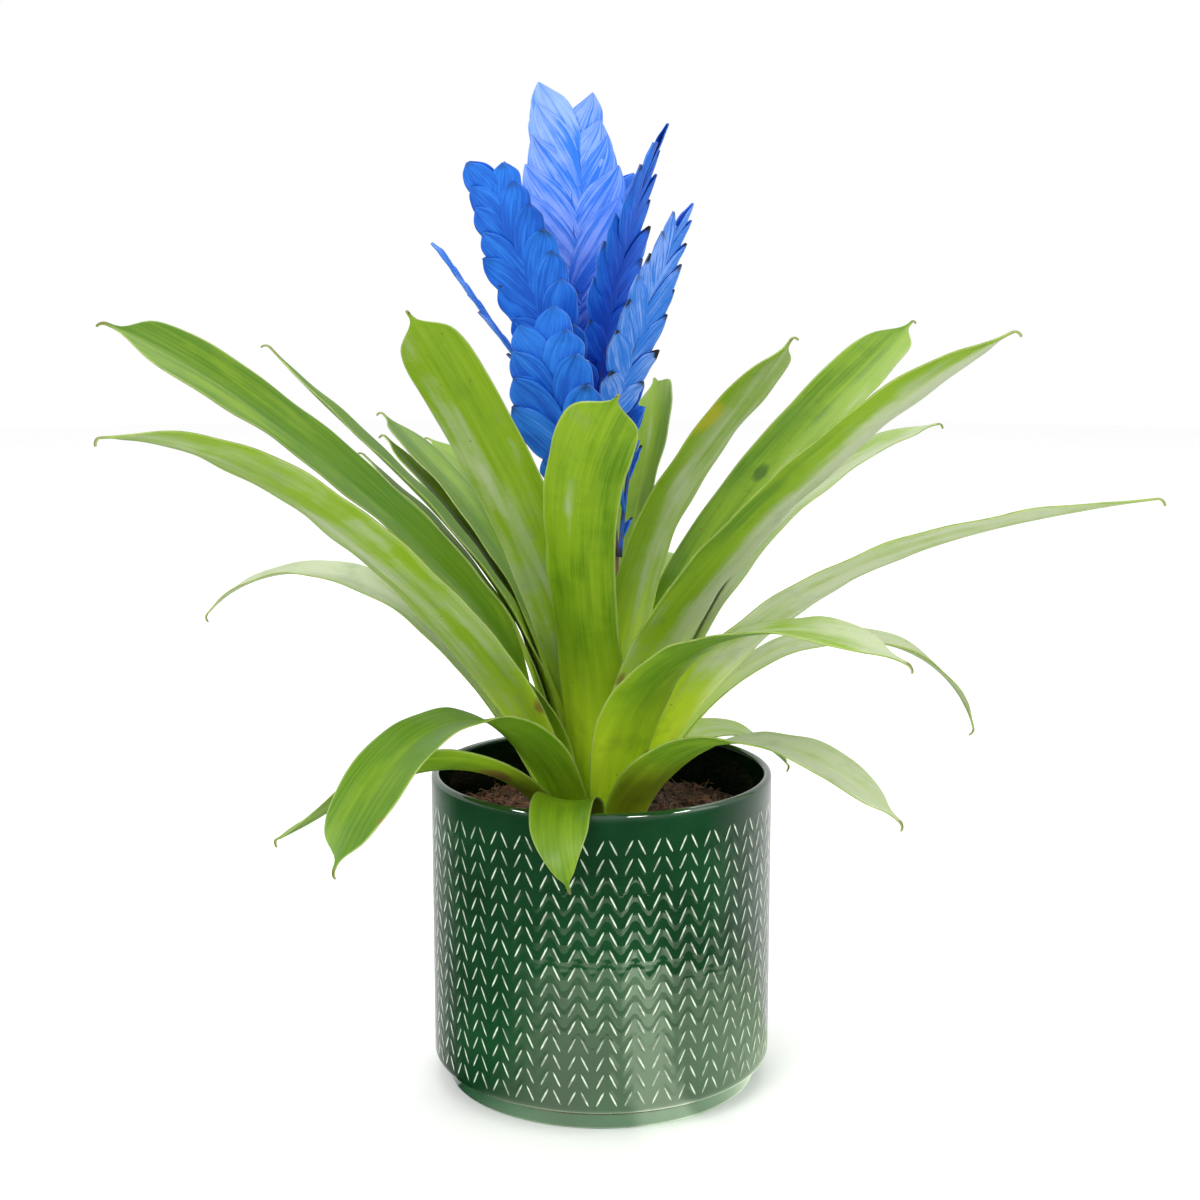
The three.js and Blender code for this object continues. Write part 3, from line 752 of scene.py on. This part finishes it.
class VRIESEA_OT_pot(bpy.types.Operator):
    """Adds the glazed pot with its pressed dashes"""

    bl_idname = "vriesea.pot"
    bl_label = "Pot"

    def execute(self, context):
        settings = context.scene.vriesea_pot
        bm = spun(pot_profile(), COLUMNS * 3)
        lean_dashes(bm)
        grooves = dash_faces(bm)
        if len(grooves) != COLUMNS * ROWS * (len(DASH_LEVELS) - 1):
            raise RuntimeError(f"found {len(grooves)} groove faces")
        bmesh.ops.inset_region(
            bm, faces=grooves, thickness=DASH_LIP * MM, depth=0, use_even_offset=True,
        )
        sloped = bmesh.ops.inset_region(
            bm, faces=grooves, thickness=DASH_SLOPE * MM, depth=-settings.groove_depth,
            use_even_offset=True,
        )
        for face in grooves + sloped["faces"]:
            face.material_index = 1
        turn = Matrix.Rotation(math.radians(PATTERN_TURN), 3, "Z")
        bmesh.ops.rotate(bm, verts=bm.verts, matrix=turn)
        for face in bm.faces:
            middle = face.calc_center_median() / MM
            # Inner faces take a glaze painted near black, as painted shade inside the pot
            if middle.z > POT_FLOOR - 0.5 and math.hypot(middle.x, middle.y) < POT_INNER + 0.2:
                face.material_index = 2
            elif middle.z < POT_FOOT_TOP:
                face.material_index = 3
        glaze = Vector(settings.glaze)
        thin = settings.groove
        materials = [
            glaze_material("green glaze", glaze, True),
            patchy_material(
                "thin glaze in the dashes", tinted(thin, 0.4), thin, 180, (0.3, 0.65),
                roughness=0.3, coat_weight=0.3, coat_roughness=0.1,
            ),
            # Glaze inside the pot, painted near black as the shade that falls inside it
            glaze_material("inner glaze painted dark as shade", glaze * 0.2, shine=0.25),
            glaze_material("glaze of the foot", glaze * 2.2 + Vector((0.03, 0.03, 0.03))),
        ]
        piece_from(bm, "glazed_pot", materials, ["pot"])
        return {"FINISHED"}


def peat_height(x, y):
    """Uneven top of the peat, by waves of several lengths."""
    value = 0.0
    for size, scale in PEAT_WAVES:
        bent = math.sin(x * scale + 1.7 * math.cos(y * scale * 0.8))
        value += size * bent * math.cos(y * scale * 1.1 + 0.6)
    return value


def peat_place(draw, past_hole, short_of_wall):
    """A drawn place on the peat, the same density all over."""
    nearest, farthest = SOIL_HOLE + past_hole, POT_INNER - short_of_wall
    radius = lerp(nearest, farthest, math.sqrt(draw()))
    turn = draw() * math.tau
    return radius * math.cos(turn), radius * math.sin(turn)


class VRIESEA_OT_soil(bpy.types.Operator):
    """Adds the peat with its clods and fibres"""

    bl_idname = "vriesea.soil"
    bl_label = "Soil"

    def execute(self, context):
        outer = POT_INNER - 2 * GAP
        bottom = POT_FLOOR + GAP
        profile = [(0, bottom), (outer, bottom), (outer, 60)]
        for ring in range(SOIL_RINGS + 1):
            radius = lerp(outer, SOIL_HOLE, ring / SOIL_RINGS)
            dip = smooth((SOIL_HOLE + DIP_WIDTH - radius) / DIP_WIDTH)
            profile.append((radius, SOIL_TOP - DIP_DEPTH * dip))
        profile += [(SOIL_HOLE, SOIL_HOLE_FLOOR), (0, SOIL_HOLE_FLOOR)]
        bm = spun(profile, SOIL_STEPS)
        draw = Draws(7)
        for v in bm.verts:
            if v.co.z > (SOIL_TOP - DIP_DEPTH - 0.5) * MM:
                x, y = v.co.x / MM, v.co.y / MM
                v.co.z += (peat_height(x, y) + PEAT_GRAIN * (draw() - 0.5)) * MM
        add_clods(bm, draw)
        add_fibres(bm, draw)
        materials = [
            peat_material(context.scene.vriesea_pot.peat),
            patchy_material(
                "peat fibres", (0.14, 0.05, 0.025), (0.46, 0.24, 0.15), 90, (0.35, 0.65),
                roughness=0.85,
            ),
        ]
        piece_from(bm, "peat", materials, ["soil"])
        return {"FINISHED"}


def add_clods(bm, draw):
    """Small clods that lie on the peat."""
    for _ in range(CLODS):
        x, y = peat_place(draw, 3, 3.5)
        size = lerp(*CLOD_RADIUS, draw() ** 2)
        place = Vector((x, y, SOIL_TOP + peat_height(x, y) + size * 0.35)) * MM
        made = bmesh.ops.create_icosphere(
            bm, subdivisions=1, radius=size * MM, matrix=Matrix.Translation(place),
        )
        for v in made["verts"]:
            v.co += Vector((draw() - 0.5, draw() - 0.5, draw() - 0.5)) * size * 1.1 * MM


def add_fibres(bm, draw):
    """Curled fibres that lie on the peat."""
    for _ in range(FIBRES):
        x, y = peat_place(draw, 4, 6)
        length = lerp(*FIBRE_LENGTH, draw())
        bend = (draw() - 0.5) * FIBRE_BEND
        rise = draw() * FIBRE_RISE
        heading = draw() * math.tau
        width = lerp(*FIBRE_WIDTH, draw())
        start = Vector((x, y, SOIL_TOP + peat_height(x, y) + 0.4))
        made = bmesh.ops.create_cone(
            bm, cap_ends=True, segments=4, radius1=width * MM, radius2=width * 0.5 * MM,
            depth=length * MM,
        )
        verts = cut_rod(bm, made["verts"], FIBRE_CUTS)
        for v in verts:
            t = v.co.z / MM / length + 0.5
            side = Vector((v.co.x, v.co.y, 0)) / MM
            way = heading + bend * t
            at = start + Vector((math.cos(way), math.sin(way), 0)) * length * t
            at.z += 4 * rise * t * (1 - 0.6 * t)
            v.co = (at + Vector((-math.sin(way) * side.x, math.cos(way) * side.x, side.y))) * MM
        for face in {f for v in verts for f in v.link_faces}:
            face.material_index = 1


class VRIESEA_OT_crown(bpy.types.Operator):
    """Adds the crown of packed leaf bases"""

    bl_idname = "vriesea.crown"
    bl_label = "Crown"

    def execute(self, context):
        profile = [(0, 96.3), (17, 96.3), (20, 96.9), (23, 99.6), (24.5, 102.3), (25.6, 106)]
        profile += [(26, 110.6), (25.8, 112.6), (25.2, 113.4), (24, 113.6), (0, 113.6)]
        bm = spun(profile, CROWN_STEPS)
        for v in bm.verts:
            turn = math.atan2(v.co.y, v.co.x)
            squeeze = 1 - CROWN_RIB_DEPTH * (1 + math.sin(CROWN_RIBS * turn))
            v.co.x *= squeeze
            v.co.y *= squeeze
        materials = [crown_material(context.scene.vriesea_leaf.base)]
        piece_from(bm, "crown_base", materials, ["crown"])
        return {"FINISHED"}


def centripetal(points, t):
    """Point of a centripetal Catmull-Rom curve through the points."""
    last = len(points) - 1
    index = min(int(last * t), last - 1)
    w = last * t - index
    p1, p2 = points[index], points[index + 1]
    p0 = points[index - 1] if index > 0 else p1 * 2 - p2
    p3 = points[index + 2] if index + 2 <= last else p2 * 2 - p1
    d0, d1, d2 = (
        max((b - a).length ** 0.5, 1e-4) for a, b in ((p0, p1), (p1, p2), (p2, p3))
    )
    t1 = ((p1 - p0) / d0 - (p2 - p0) / (d0 + d1) + (p2 - p1) / d1) * d1
    t2 = ((p2 - p1) / d1 - (p3 - p1) / (d1 + d2) + (p3 - p2) / d2) * d1
    square = p1 * -3 + p2 * 3 - t1 * 2 - t2
    cube = p1 * 2 - p2 * 2 + t1 + t2
    return p1 + t1 * w + square * w ** 2 + cube * w ** 3


def stalk_middle(height):
    """Middle of the stalk at a height, found by halving on the curve through its points."""
    points = [Vector(p) for p in STALK_POINTS]
    wanted = min(max(height, points[0].z), points[-1].z)
    low, high = 0.0, 1.0
    for _ in range(40):
        t = (low + high) / 2
        if centripetal(points, t).z < wanted:
            low = t
        else:
            high = t
    return centripetal(points, (low + high) / 2)


def stalk_radius(height):
    low, high = STALK_POINTS[0][2], STALK_POINTS[-1][2]
    return lerp(STALK_FOOT_RADIUS, STALK_TOP_RADIUS, (height - low) / (high - low))


class VRIESEA_OT_stalk(bpy.types.Operator):
    """Adds the flower stalk"""

    bl_idname = "vriesea.stalk"
    bl_label = "Flower stalk"

    def execute(self, context):
        low, high = STALK_POINTS[0][2], STALK_POINTS[-1][2]
        profile = [(0, low)]
        for i in range(STALK_STEPS + 1):
            height = lerp(low, high, i / STALK_STEPS)
            swell = STALK_SWELL * (math.sin(i * 1.3) - 1)
            profile.append((stalk_radius(height) + swell, height))
        profile.append((0, high))
        bm = spun(profile, STALK_SIDES)
        for v in bm.verts:
            middle = stalk_middle(v.co.z / MM)
            v.co.x += middle.x * MM
            v.co.y += middle.y * MM
        materials = [stalk_material(context.scene.vriesea_pot.stalk)]
        piece_from(bm, "flower_stalk", materials, ["stalk"])
        return {"FINISHED"}


class Leaf:
    """One leaf's midline and half width, as in the solids."""

    def __init__(self, row):
        (self.turn, self.sway, self.ring, self.headings, self.length, self.width,
         self.twist, self.rise, self.tone, self.split, self.under, self.tip, self.foot) = row
        self.start = RING_START + RING_STEP * self.ring
        self.line = self.midline()

    def heading(self, s):
        a, b, c, d = self.headings
        t = 1 - s
        blade = a * t ** 3 + 3 * b * s * t * t + 3 * c * s * s * t + d * s ** 3
        hold = smooth(1 - s * self.length / SHEATH_LENGTH)
        return math.radians(blade + (self.rise - blade) * hold)

    def way(self, s):
        return math.radians(self.turn + self.sway * s * s)

    def midline(self):
        step = self.length / LEAF_STEPS
        reach, height = self.start, LEAF_ROOT
        line = []
        for i in range(LEAF_STEPS + 1):
            s = i / LEAF_STEPS
            way = self.way(s)
            line.append(Vector((reach * math.cos(way), reach * math.sin(way), height)))
            heading = self.heading(s + 0.5 / LEAF_STEPS)
            reach += step * math.cos(heading)
            height += step * math.sin(heading)
        return line

    def half_width(self, s):
        rise = SHEATH_WIDTH + (1 - SHEATH_WIDTH) * smooth(s / 0.3)
        u = min(max((s - 0.55) / 0.42, 0), 1)
        blunt = max(-self.tip, 0)
        shape = max(1 - u ** (2.6 + 9 * blunt * blunt), 0) ** (0.5 - 0.13 * blunt)
        shape *= 1 - 0.45 * max(self.tip, 0) * smooth((u - 0.45) / 0.55)
        return max(self.width / 2 * rise * shape, LEAF_TIP_HALF)

    def frame(self, index):
        """Directions across the blade and up from its face at a step."""
        s = index / LEAF_STEPS
        before = self.line[max(index - 1, 0)]
        after = self.line[min(index + 1, LEAF_STEPS)]
        along = (after - before).normalized()
        way = self.way(s)
        across = Vector((-math.sin(way), math.cos(way), 0))
        across = (across - along * across.dot(along)).normalized()
        angle = math.radians(self.twist) * smooth((s * self.length - TWIST_START) / TWIST_RUN)
        across = Matrix.Rotation(angle, 3, along) @ across
        return across, along.cross(across)

    def place(self, index, side, lift=0.0):
        """A point of the blade: side runs from -1 to 1 across it."""
        s = index / LEAF_STEPS
        across, up = self.frame(index)
        bend = self.start + (CHANNEL_RADIUS - self.start) * smooth(s * self.length / CHANNEL_RUN)
        angle = side * self.half_width(s) / bend
        out = across * -math.sin(angle) + up * math.cos(angle)
        return self.line[index] + up * bend - out * bend + out * lift

    def hook(self, index, side):
        """A point of the thread that hooks down past the blade's end."""
        t = (index - LEAF_STEPS) / HOOK_STEPS
        across, up = self.frame(LEAF_STEPS)
        along = (self.line[-1] - self.line[-2]).normalized()
        fall = HOOK_FALL * t
        arc = along * math.sin(fall) / HOOK_FALL - up * (1 - math.cos(fall)) / HOOK_FALL
        half = lerp(LEAF_TIP_HALF, HOOK_TIP_HALF, t)
        return self.line[-1] + arc * HOOK_LENGTH + across * side * half


def blade_mesh(leaf, number, settings):
    """A grid laid along the leaf, with a crease, a waved edge and a hooked tip."""
    bm = bmesh.new()
    uv = bm.loops.layers.uv.new("leaf")
    layers = {name: bm.verts.layers.float.new(name) for name in LEAF_LAYERS}
    rows = LEAF_STEPS + HOOK_STEPS
    bmesh.ops.create_grid(bm, x_segments=settings.across, y_segments=rows, size=0.5)
    draw = Draws(900 + number)
    left, right, both, _ = (draw() * math.tau for _ in range(4))
    own = draw()
    wave = settings.wave / MM
    marks = [mark[1:] for mark in MARKS if mark[0] == number]
    for v in bm.verts:
        side = -2 * v.co.x
        index = round((v.co.y + 0.5) * rows)
        s = index / LEAF_STEPS
        run = s * leaf.length
        half = leaf.half_width(min(s, 1))
        relief = smooth((run - RELIEF_START) / RELIEF_RUN) * (1 - 0.8 * smooth((s - 0.85) / 0.15))
        ripple = math.sin(run / LONG_WAVE + (left if side < 0 else right))
        ripple += 0.6 * math.sin(run / SHORT_WAVE + both)
        crease = (1 - min(abs(side) / CREASE_HALF, 1)) ** 1.4
        lift = wave * relief * abs(side) ** 2.5 * ripple - CREASE_DEPTH * relief * crease
        if index <= LEAF_STEPS:
            v.co = leaf.place(index, side, lift) * MM
        else:
            v.co = leaf.hook(index, side) * MM
        v[layers["side"]] = side
        v[layers["share"]] = s
        # Tone with the split, which paints one half of the blade paler as painted sheen
        v[layers["tone"]] = leaf.tone + leaf.split * smooth((side + 0.8) / 0.9) * smooth(s * 3)
        v[layers["under"]] = leaf.under
        v[layers["draw"]] = own
        v[layers["foot"]] = (run - leaf.foot) / 100
        for at, over, size, kind in marks:
            reach = math.hypot((s - at) * leaf.length / 1.6, (side - over) * half) / size
            v[layers[kind]] = max(v[layers[kind]], 1 - smooth(reach))
    for face in bm.faces:
        for loop in face.loops:
            side, s = (loop.vert[layers[name]] for name in ("side", "share"))
            half = leaf.half_width(min(s, 1))
            loop[uv].uv = (side * half / 100, s * leaf.length / 100)
    return bm


class VRIESEA_OT_leaves(bpy.types.Operator):
    """Adds every leaf as a channelled blade with a hooked tip"""

    bl_idname = "vriesea.leaves"
    bl_label = "Leaves"

    def execute(self, context):
        settings = context.scene.vriesea_leaf
        materials = [
            leaf_material("leaf upper face", settings, True),
            leaf_material("leaf lower face", settings, False),
            patchy_material(
                "leaf edge", (0.30, 0.40, 0.08), (0.20, 0.31, 0.04), 150, (0.35, 0.7),
                roughness=0.45,
            ),
        ]
        for number, row in enumerate(LEAVES, 1):
            bm = blade_mesh(Leaf(row), number, settings)
            name = f"{number:02d}"
            blade = piece_from(bm, f"blade_{name}", materials, [f"leaf-{name}"])
            thicken(blade, LEAF_THICKNESS * MM, lower_face=1, edge=2)
        return {"FINISHED"}


class Spike:
    """Line and bracts of one flattened spike, as in the solids."""

    def __init__(self, row, number):
        (self.root, self.face, self.lean, self.bend, self.side, self.length,
         self.count, self.size, self.tone, self.dry, self.turn) = row
        self.slim = SLIM.get(number, 1)
        self.taper = TAPER.get(number, 0)
        self.pointed = number in TAPER
        self.line = self.places()
        self.draw = Draws(100 + number)
        self.looks = Draws(4986 + 17 * number)

    def places(self):
        face = math.radians(self.face)
        outward = Vector((math.cos(face), math.sin(face), 0))
        upward = Vector((0, 0, 1))
        side = math.radians(self.side)
        point = stalk_middle(self.root)
        if self.root < STALK_POINTS[-1][2]:
            point += outward * (stalk_radius(self.root) + CORE_HALF + GAP)
        else:
            point.z += 1.5 * GAP
        line = []
        for i in range(SPIKE_STEPS + 1):
            lean = math.radians(self.lean + self.bend * i / SPIKE_STEPS)
            rise = upward * math.cos(lean) + outward * math.sin(lean)
            out = outward * math.cos(lean) - upward * math.sin(lean)
            flank = rise.cross(out)
            along = rise * math.cos(side) + flank * math.sin(side)
            line.append((point.copy(), along, out, along.cross(out)))
            point += along * (self.length / SPIKE_STEPS)
        return line

    def at(self, step, last=SPIKE_STEPS):
        """The spike's place and frame at a step that may lie between two."""
        low = min(int(step), last - 1)
        point = self.line[low][0].lerp(self.line[low + 1][0], step - low)
        return (point, *self.line[low][1:])

    def bracts(self):
        for i in range(self.count):
            t = i / (self.count - 1)
            step = lerp(FIRST_BRACT_STEP, LAST_BRACT_STEP, t)
            point, along, out, across = self.at(step)
            turned = math.radians(self.turn) * smooth(step / SPIKE_STEPS)
            turn = Matrix.Rotation(turned, 3, along)
            out, across = turn @ out, turn @ across
            flank = 1 if i % 2 == 0 else -1
            spread = 4 * (self.draw() - 0.5)
            angle = lerp(BRACT_ANGLE, BRACT_TIP_ANGLE, t ** 2) + spread
            young = lerp(0.6, 1, smooth(t / 0.35)) - 0.25 * t * t
            reach = BRACT_REACH * self.size * young * (0.95 + 0.1 * self.draw())
            taper = 1 - self.taper * t * t
            width = BRACT_WIDTH * self.size * taper * (0.94 + 0.12 * self.draw())
            curl = BRACT_CURL * (self.draw() - 0.5)
            lift = BRACT_LIFT * (self.draw() - 0.5)
            turn = Matrix.Rotation(-math.radians(angle) * flank, 3, out)
            yield point, turn @ along, turn @ across, out, flank, reach, width, curl, lift, t


def outer_edge(l, pointed):
    """Place of the fold along a bract, in widths: a full lobe, round or drawn to a point."""
    if l < 0.5:
        return lerp(0.14, 0.5, smooth(l / 0.5) ** 0.9)
    start, power = (0.6, 2.2) if pointed else (0.72, 2.5)
    u = max(l - start, 0) / (1 - start)
    return 0.10 + 0.40 * math.sqrt(max(1 - u ** power, 0))


def inner_edge(l, pointed):
    """Place of the free margin along a bract, in widths: it starts past the spike's middle."""
    start = 0.4 if pointed else 0.55
    if l < start:
        return lerp(-0.22, -0.33, smooth(l / start))
    u = (l - start) / (1 - start)
    return 0.09 - 0.42 * max(1 - u ** 2.4, 0) ** 0.6


def add_bract(bm, spike, bract, layers):
    """A sheet folded along its outer edge, open towards the middle of the spike."""
    point, along, across, out, flank, reach, width, curl, lift, t = bract
    uv, tone, dry = layers
    over, up = BRACT_FACES
    verts = bmesh.ops.create_grid(bm, x_segments=over, y_segments=up, size=0.5)["verts"]
    wobble = spike.looks() * math.tau
    shade = spike.tone + 0.08 * (spike.looks() - 0.5)
    dryness = spike.dry * (0.2 + 0.8 * spike.looks()) * (1 - 0.6 * t * t)
    curled = 2.4 * spike.looks() ** 2
    if spike.pointed:
        dryness, curled, sharp = dryness * 2, curled + 0.8, 0.09
    else:
        curled, sharp = curled + 0.3, 0.03
    closing = 0.8 if spike.taper > 0.1 else 0.12
    for face in {f for v in verts for f in v.link_faces}:
        for loop in face.loops:
            loop[uv].uv = (loop.vert.co.x + 0.5, loop.vert.co.y + 0.5)
    for v in verts:
        # c runs from the fold at 0 to the margins of both sides, and l from foot to tip
        c, l = 2 * v.co.x * flank, v.co.y + 0.5
        inward = abs(c)
        ruffle = 0.02 * smooth((l - 0.3) / 0.4) * math.sin(19 * l + wobble)
        outer = outer_edge(l, spike.pointed) + ruffle * (1 - inward)
        w = lerp(outer, inner_edge(l, spike.pointed), inward) * spike.slim
        open_up = (0.25 + 1.15 * l) * (1 - closing * smooth((l - 0.72) / 0.28) ** 1.5)
        open_up *= 1 - 0.2 * smooth((inward - 0.7) / 0.3)
        n = 0.3 * smooth(inward / 0.2)
        n += open_up * (0.2 * smooth(inward / 0.15) + 0.8 * smooth(inward))
        n = math.copysign(n, c) if inward > 1e-6 else 0.0
        tip = curled * smooth((l - 0.8) / 0.2) ** 2 * width / BRACT_WIDTH
        length = (l + sharp * max(l - 0.93, 0) / 0.07) * reach
        place = point + along * length + across * flank * (w * width + tip * 0.7)
        place += out * (n + lift + curl * l * l + tip * 1.1)
        v.co = place * MM
        v[tone] = shade
        v[dry] = dryness


def add_core(bm, spike):
    """The slim round core that carries the bracts."""
    made = bmesh.ops.create_cone(bm, cap_ends=True, segments=8, radius1=1, radius2=1, depth=1)
    for v in cut_rod(bm, made["verts"], CORE_CUTS):
        s = v.co.z + 0.5
        point, _, out, across = spike.at(s * CORE_LAST_STEP, CORE_LAST_STEP)
        half = CORE_HALF * (1 - 0.4 * s)
        v.co = (point - across * v.co.x * half + out * v.co.y * half) * MM


class VRIESEA_OT_flower_head(bpy.types.Operator):
    """Adds the flattened spikes of folded bracts"""

    bl_idname = "vriesea.flower_head"
    bl_label = "Flower head"

    def execute(self, context):
        settings = context.scene.vriesea_bract
        dyed = bract_material(settings)
        core_finish = patchy_material(
            "spike core", settings.deep, (0.05, 0.05, 0.12), 200, (0.35, 0.7), roughness=0.6,
        )
        for number, row in enumerate(SPIKES, 1):
            spike = Spike(row, number)
            name = f"{number:02d}"
            bm = bmesh.new()
            uv = bm.loops.layers.uv.new("bract")
            layers = (uv, *(bm.verts.layers.float.new(kind) for kind in ("tone", "dry")))
            for bract in spike.bracts():
                add_bract(bm, spike, bract, layers)
            sheets = piece_from(bm, f"bracts_{name}", [dyed], [f"spike-{name}"])
            thicken(sheets, settings.thickness)
            core = bmesh.new()
            add_core(core, spike)
            piece_from(core, f"core_{name}", [core_finish], [])
        return {"FINISHED"}


def floor_material():
    """Plain pale floor, faintly uneven in tone."""
    s = Shader("pale floor")
    grain = s.noise(s.object_place(), 30, 2)
    shade = s.mix(grain, (0.975, 0.975, 0.975), (0.99, 0.99, 0.99))
    return s.finish(base_color=shade, roughness=0.6)


def card_material():
    """Light of the card in the pot's glaze: brighter in a band to the right, dark at the left."""
    s = Shader("reflecting card")
    x, y, _ = s.split(s.object_place())
    turn = s.math("ARCTAN2", x, s.times(y, -1.0))
    band = s.times(s.span(turn, 0.16, 0.3), s.span(turn, 0.68, 0.55))
    power = s.add(s.span(turn, 1.1, 1.9, 1.3, 0.6), s.times(band, 1.7))
    power = s.times(s.span(turn, -1.0, -0.3), power)
    s.owner.cycles.emission_sampling = "NONE"
    return s.close(s.fill(s.node("ShaderNodeEmission"), CARD_COLOUR, power))


def lamp_material():
    """Even white light."""
    s = Shader("rim lamp")
    light = s.node("ShaderNodeEmission")
    s.put(RIM_LAMP_POWER, light.inputs[1])
    return s.close(light.outputs[0])


def stage_sheet(name, radius, place, material, cut=None):
    """A round sheet of the stage, of which a cut keeps only one side."""
    bm = bmesh.new()
    at = Matrix.Translation(place)
    bmesh.ops.create_circle(bm, cap_ends=True, segments=96, radius=radius, matrix=at)
    if cut is not None:
        bmesh.ops.bisect_plane(
            bm, geom=[*bm.verts, *bm.edges, *bm.faces], plane_co=(0, 0, 0),
            plane_no=(math.cos(cut), math.sin(cut), 0), clear_inner=True,
        )
    made = new_object(bm, name, [material])
    return made


def only_reflected(thing):
    """Keeps a stage sheet out of all but reflections."""
    thing.visible_camera = False
    thing.visible_diffuse = False
    thing.visible_shadow = False
    thing.visible_transmission = False


def add_light(name, place, aim_height, size, power):
    """A square light that aims at a height on the pot's axis."""
    data = bpy.data.lights.new(name, "AREA")
    data.shape = "SQUARE"
    data.size = size
    data.energy = power
    lamp = bpy.data.objects.new(name, data)
    lamp.location = place
    way = Vector((0, 0, aim_height)) - Vector(place)
    lamp.rotation_euler = way.to_track_quat("-Z", "Y").to_euler()
    bpy.context.scene.collection.objects.link(lamp)


def sky():
    """White for the camera, even light for the rest, and a dark ground in front in reflections."""
    s = Shader("studio", "worlds")
    x, y, z = s.split(s.node("ShaderNodeTexCoord").outputs["Generated"])
    height = s.span(z, -0.12, 0.05, 0.02, 0.65, "LINEAR")
    back = s.span(s.math("MULTIPLY_ADD", x, 0.35, y), 0.0, 0.95, 0.0, 0.65, "LINEAR")
    rays = s.node("ShaderNodeLightPath").outputs
    glossy = s.math("MAXIMUM", height, back)
    even = s.mix_values(rays["Is Glossy Ray"], AMBIENT, glossy)
    seen = s.mix_values(rays["Is Camera Ray"], even, 1.0)
    light = s.fill(s.node("ShaderNodeBackground"), (1, 1, 1), seen)
    bpy.context.scene.world = s.close(light, "ShaderNodeOutputWorld")


class VRIESEA_OT_stage(bpy.types.Operator):
    """Adds the floor, the lights and the camera"""

    bl_idname = "vriesea.stage"
    bl_label = "Stage"

    def execute(self, context):
        settings = context.scene.vriesea_stage
        floor = stage_sheet("floor", FLOOR_RADIUS, (0, 0, 0), floor_material())
        floor.visible_glossy = False
        card = stage_sheet(
            "round reflecting card", CARD_RADIUS, CARD_PLACE, card_material(), CARD_CUT,
        )
        only_reflected(card)
        for number, place in enumerate(RIM_LAMPS, 1):
            lamp = stage_sheet(f"rim lamp {number}", RIM_LAMP_RADIUS, place, lamp_material())
            only_reflected(lamp)
        for light in LIGHTS:
            add_light(*light)
        sky()
        data = bpy.data.cameras.new("photograph view")
        data.lens = settings.lens
        data.sensor_width = 36
        camera = bpy.data.objects.new("photograph view", data)
        camera.location = (CAMERA_SIDE, -settings.distance, settings.height)
        camera.rotation_euler = (math.pi / 2 - settings.pitch, 0, 0)
        context.scene.collection.objects.link(camera)
        context.scene.camera = camera
        context.scene.view_settings.view_transform = "Standard"
        return {"FINISHED"}


class VRIESEA_PT_parts(bpy.types.Panel):
    """Lists the steps that build the plant"""

    bl_idname = "VRIESEA_PT_parts"
    bl_label = "Potted vriesea"
    bl_space_type = "VIEW_3D"
    bl_region_type = "UI"
    bl_category = "Vriesea"

    def draw(self, context):
        for step in STEPS:
            self.layout.operator(step.bl_idname)


GROUPS = {
    "vriesea_pot": PotProperties,
    "vriesea_leaf": LeafProperties,
    "vriesea_bract": BractProperties,
    "vriesea_stage": StageProperties,
}
STEPS = [
    VRIESEA_OT_stage, VRIESEA_OT_pot, VRIESEA_OT_soil, VRIESEA_OT_crown, VRIESEA_OT_stalk,
    VRIESEA_OT_leaves, VRIESEA_OT_flower_head,
]


def register():
    for name, group in GROUPS.items():
        bpy.utils.register_class(group)
        setattr(bpy.types.Scene, name, bpy.props.PointerProperty(type=group))
    for step in STEPS:
        bpy.utils.register_class(step)
    bpy.utils.register_class(VRIESEA_PT_parts)


def unregister():
    bpy.utils.unregister_class(VRIESEA_PT_parts)
    for step in reversed(STEPS):
        bpy.utils.unregister_class(step)
    for name, group in GROUPS.items():
        delattr(bpy.types.Scene, name)
        bpy.utils.unregister_class(group)


def main():
    register()
    bpy.ops.vriesea.stage()
    bpy.ops.vriesea.pot()
    bpy.ops.vriesea.soil()
    bpy.ops.vriesea.crown()
    bpy.ops.vriesea.stalk()
    bpy.ops.vriesea.leaves()
    bpy.ops.vriesea.flower_head()


if __name__ == "__main__":
    main()
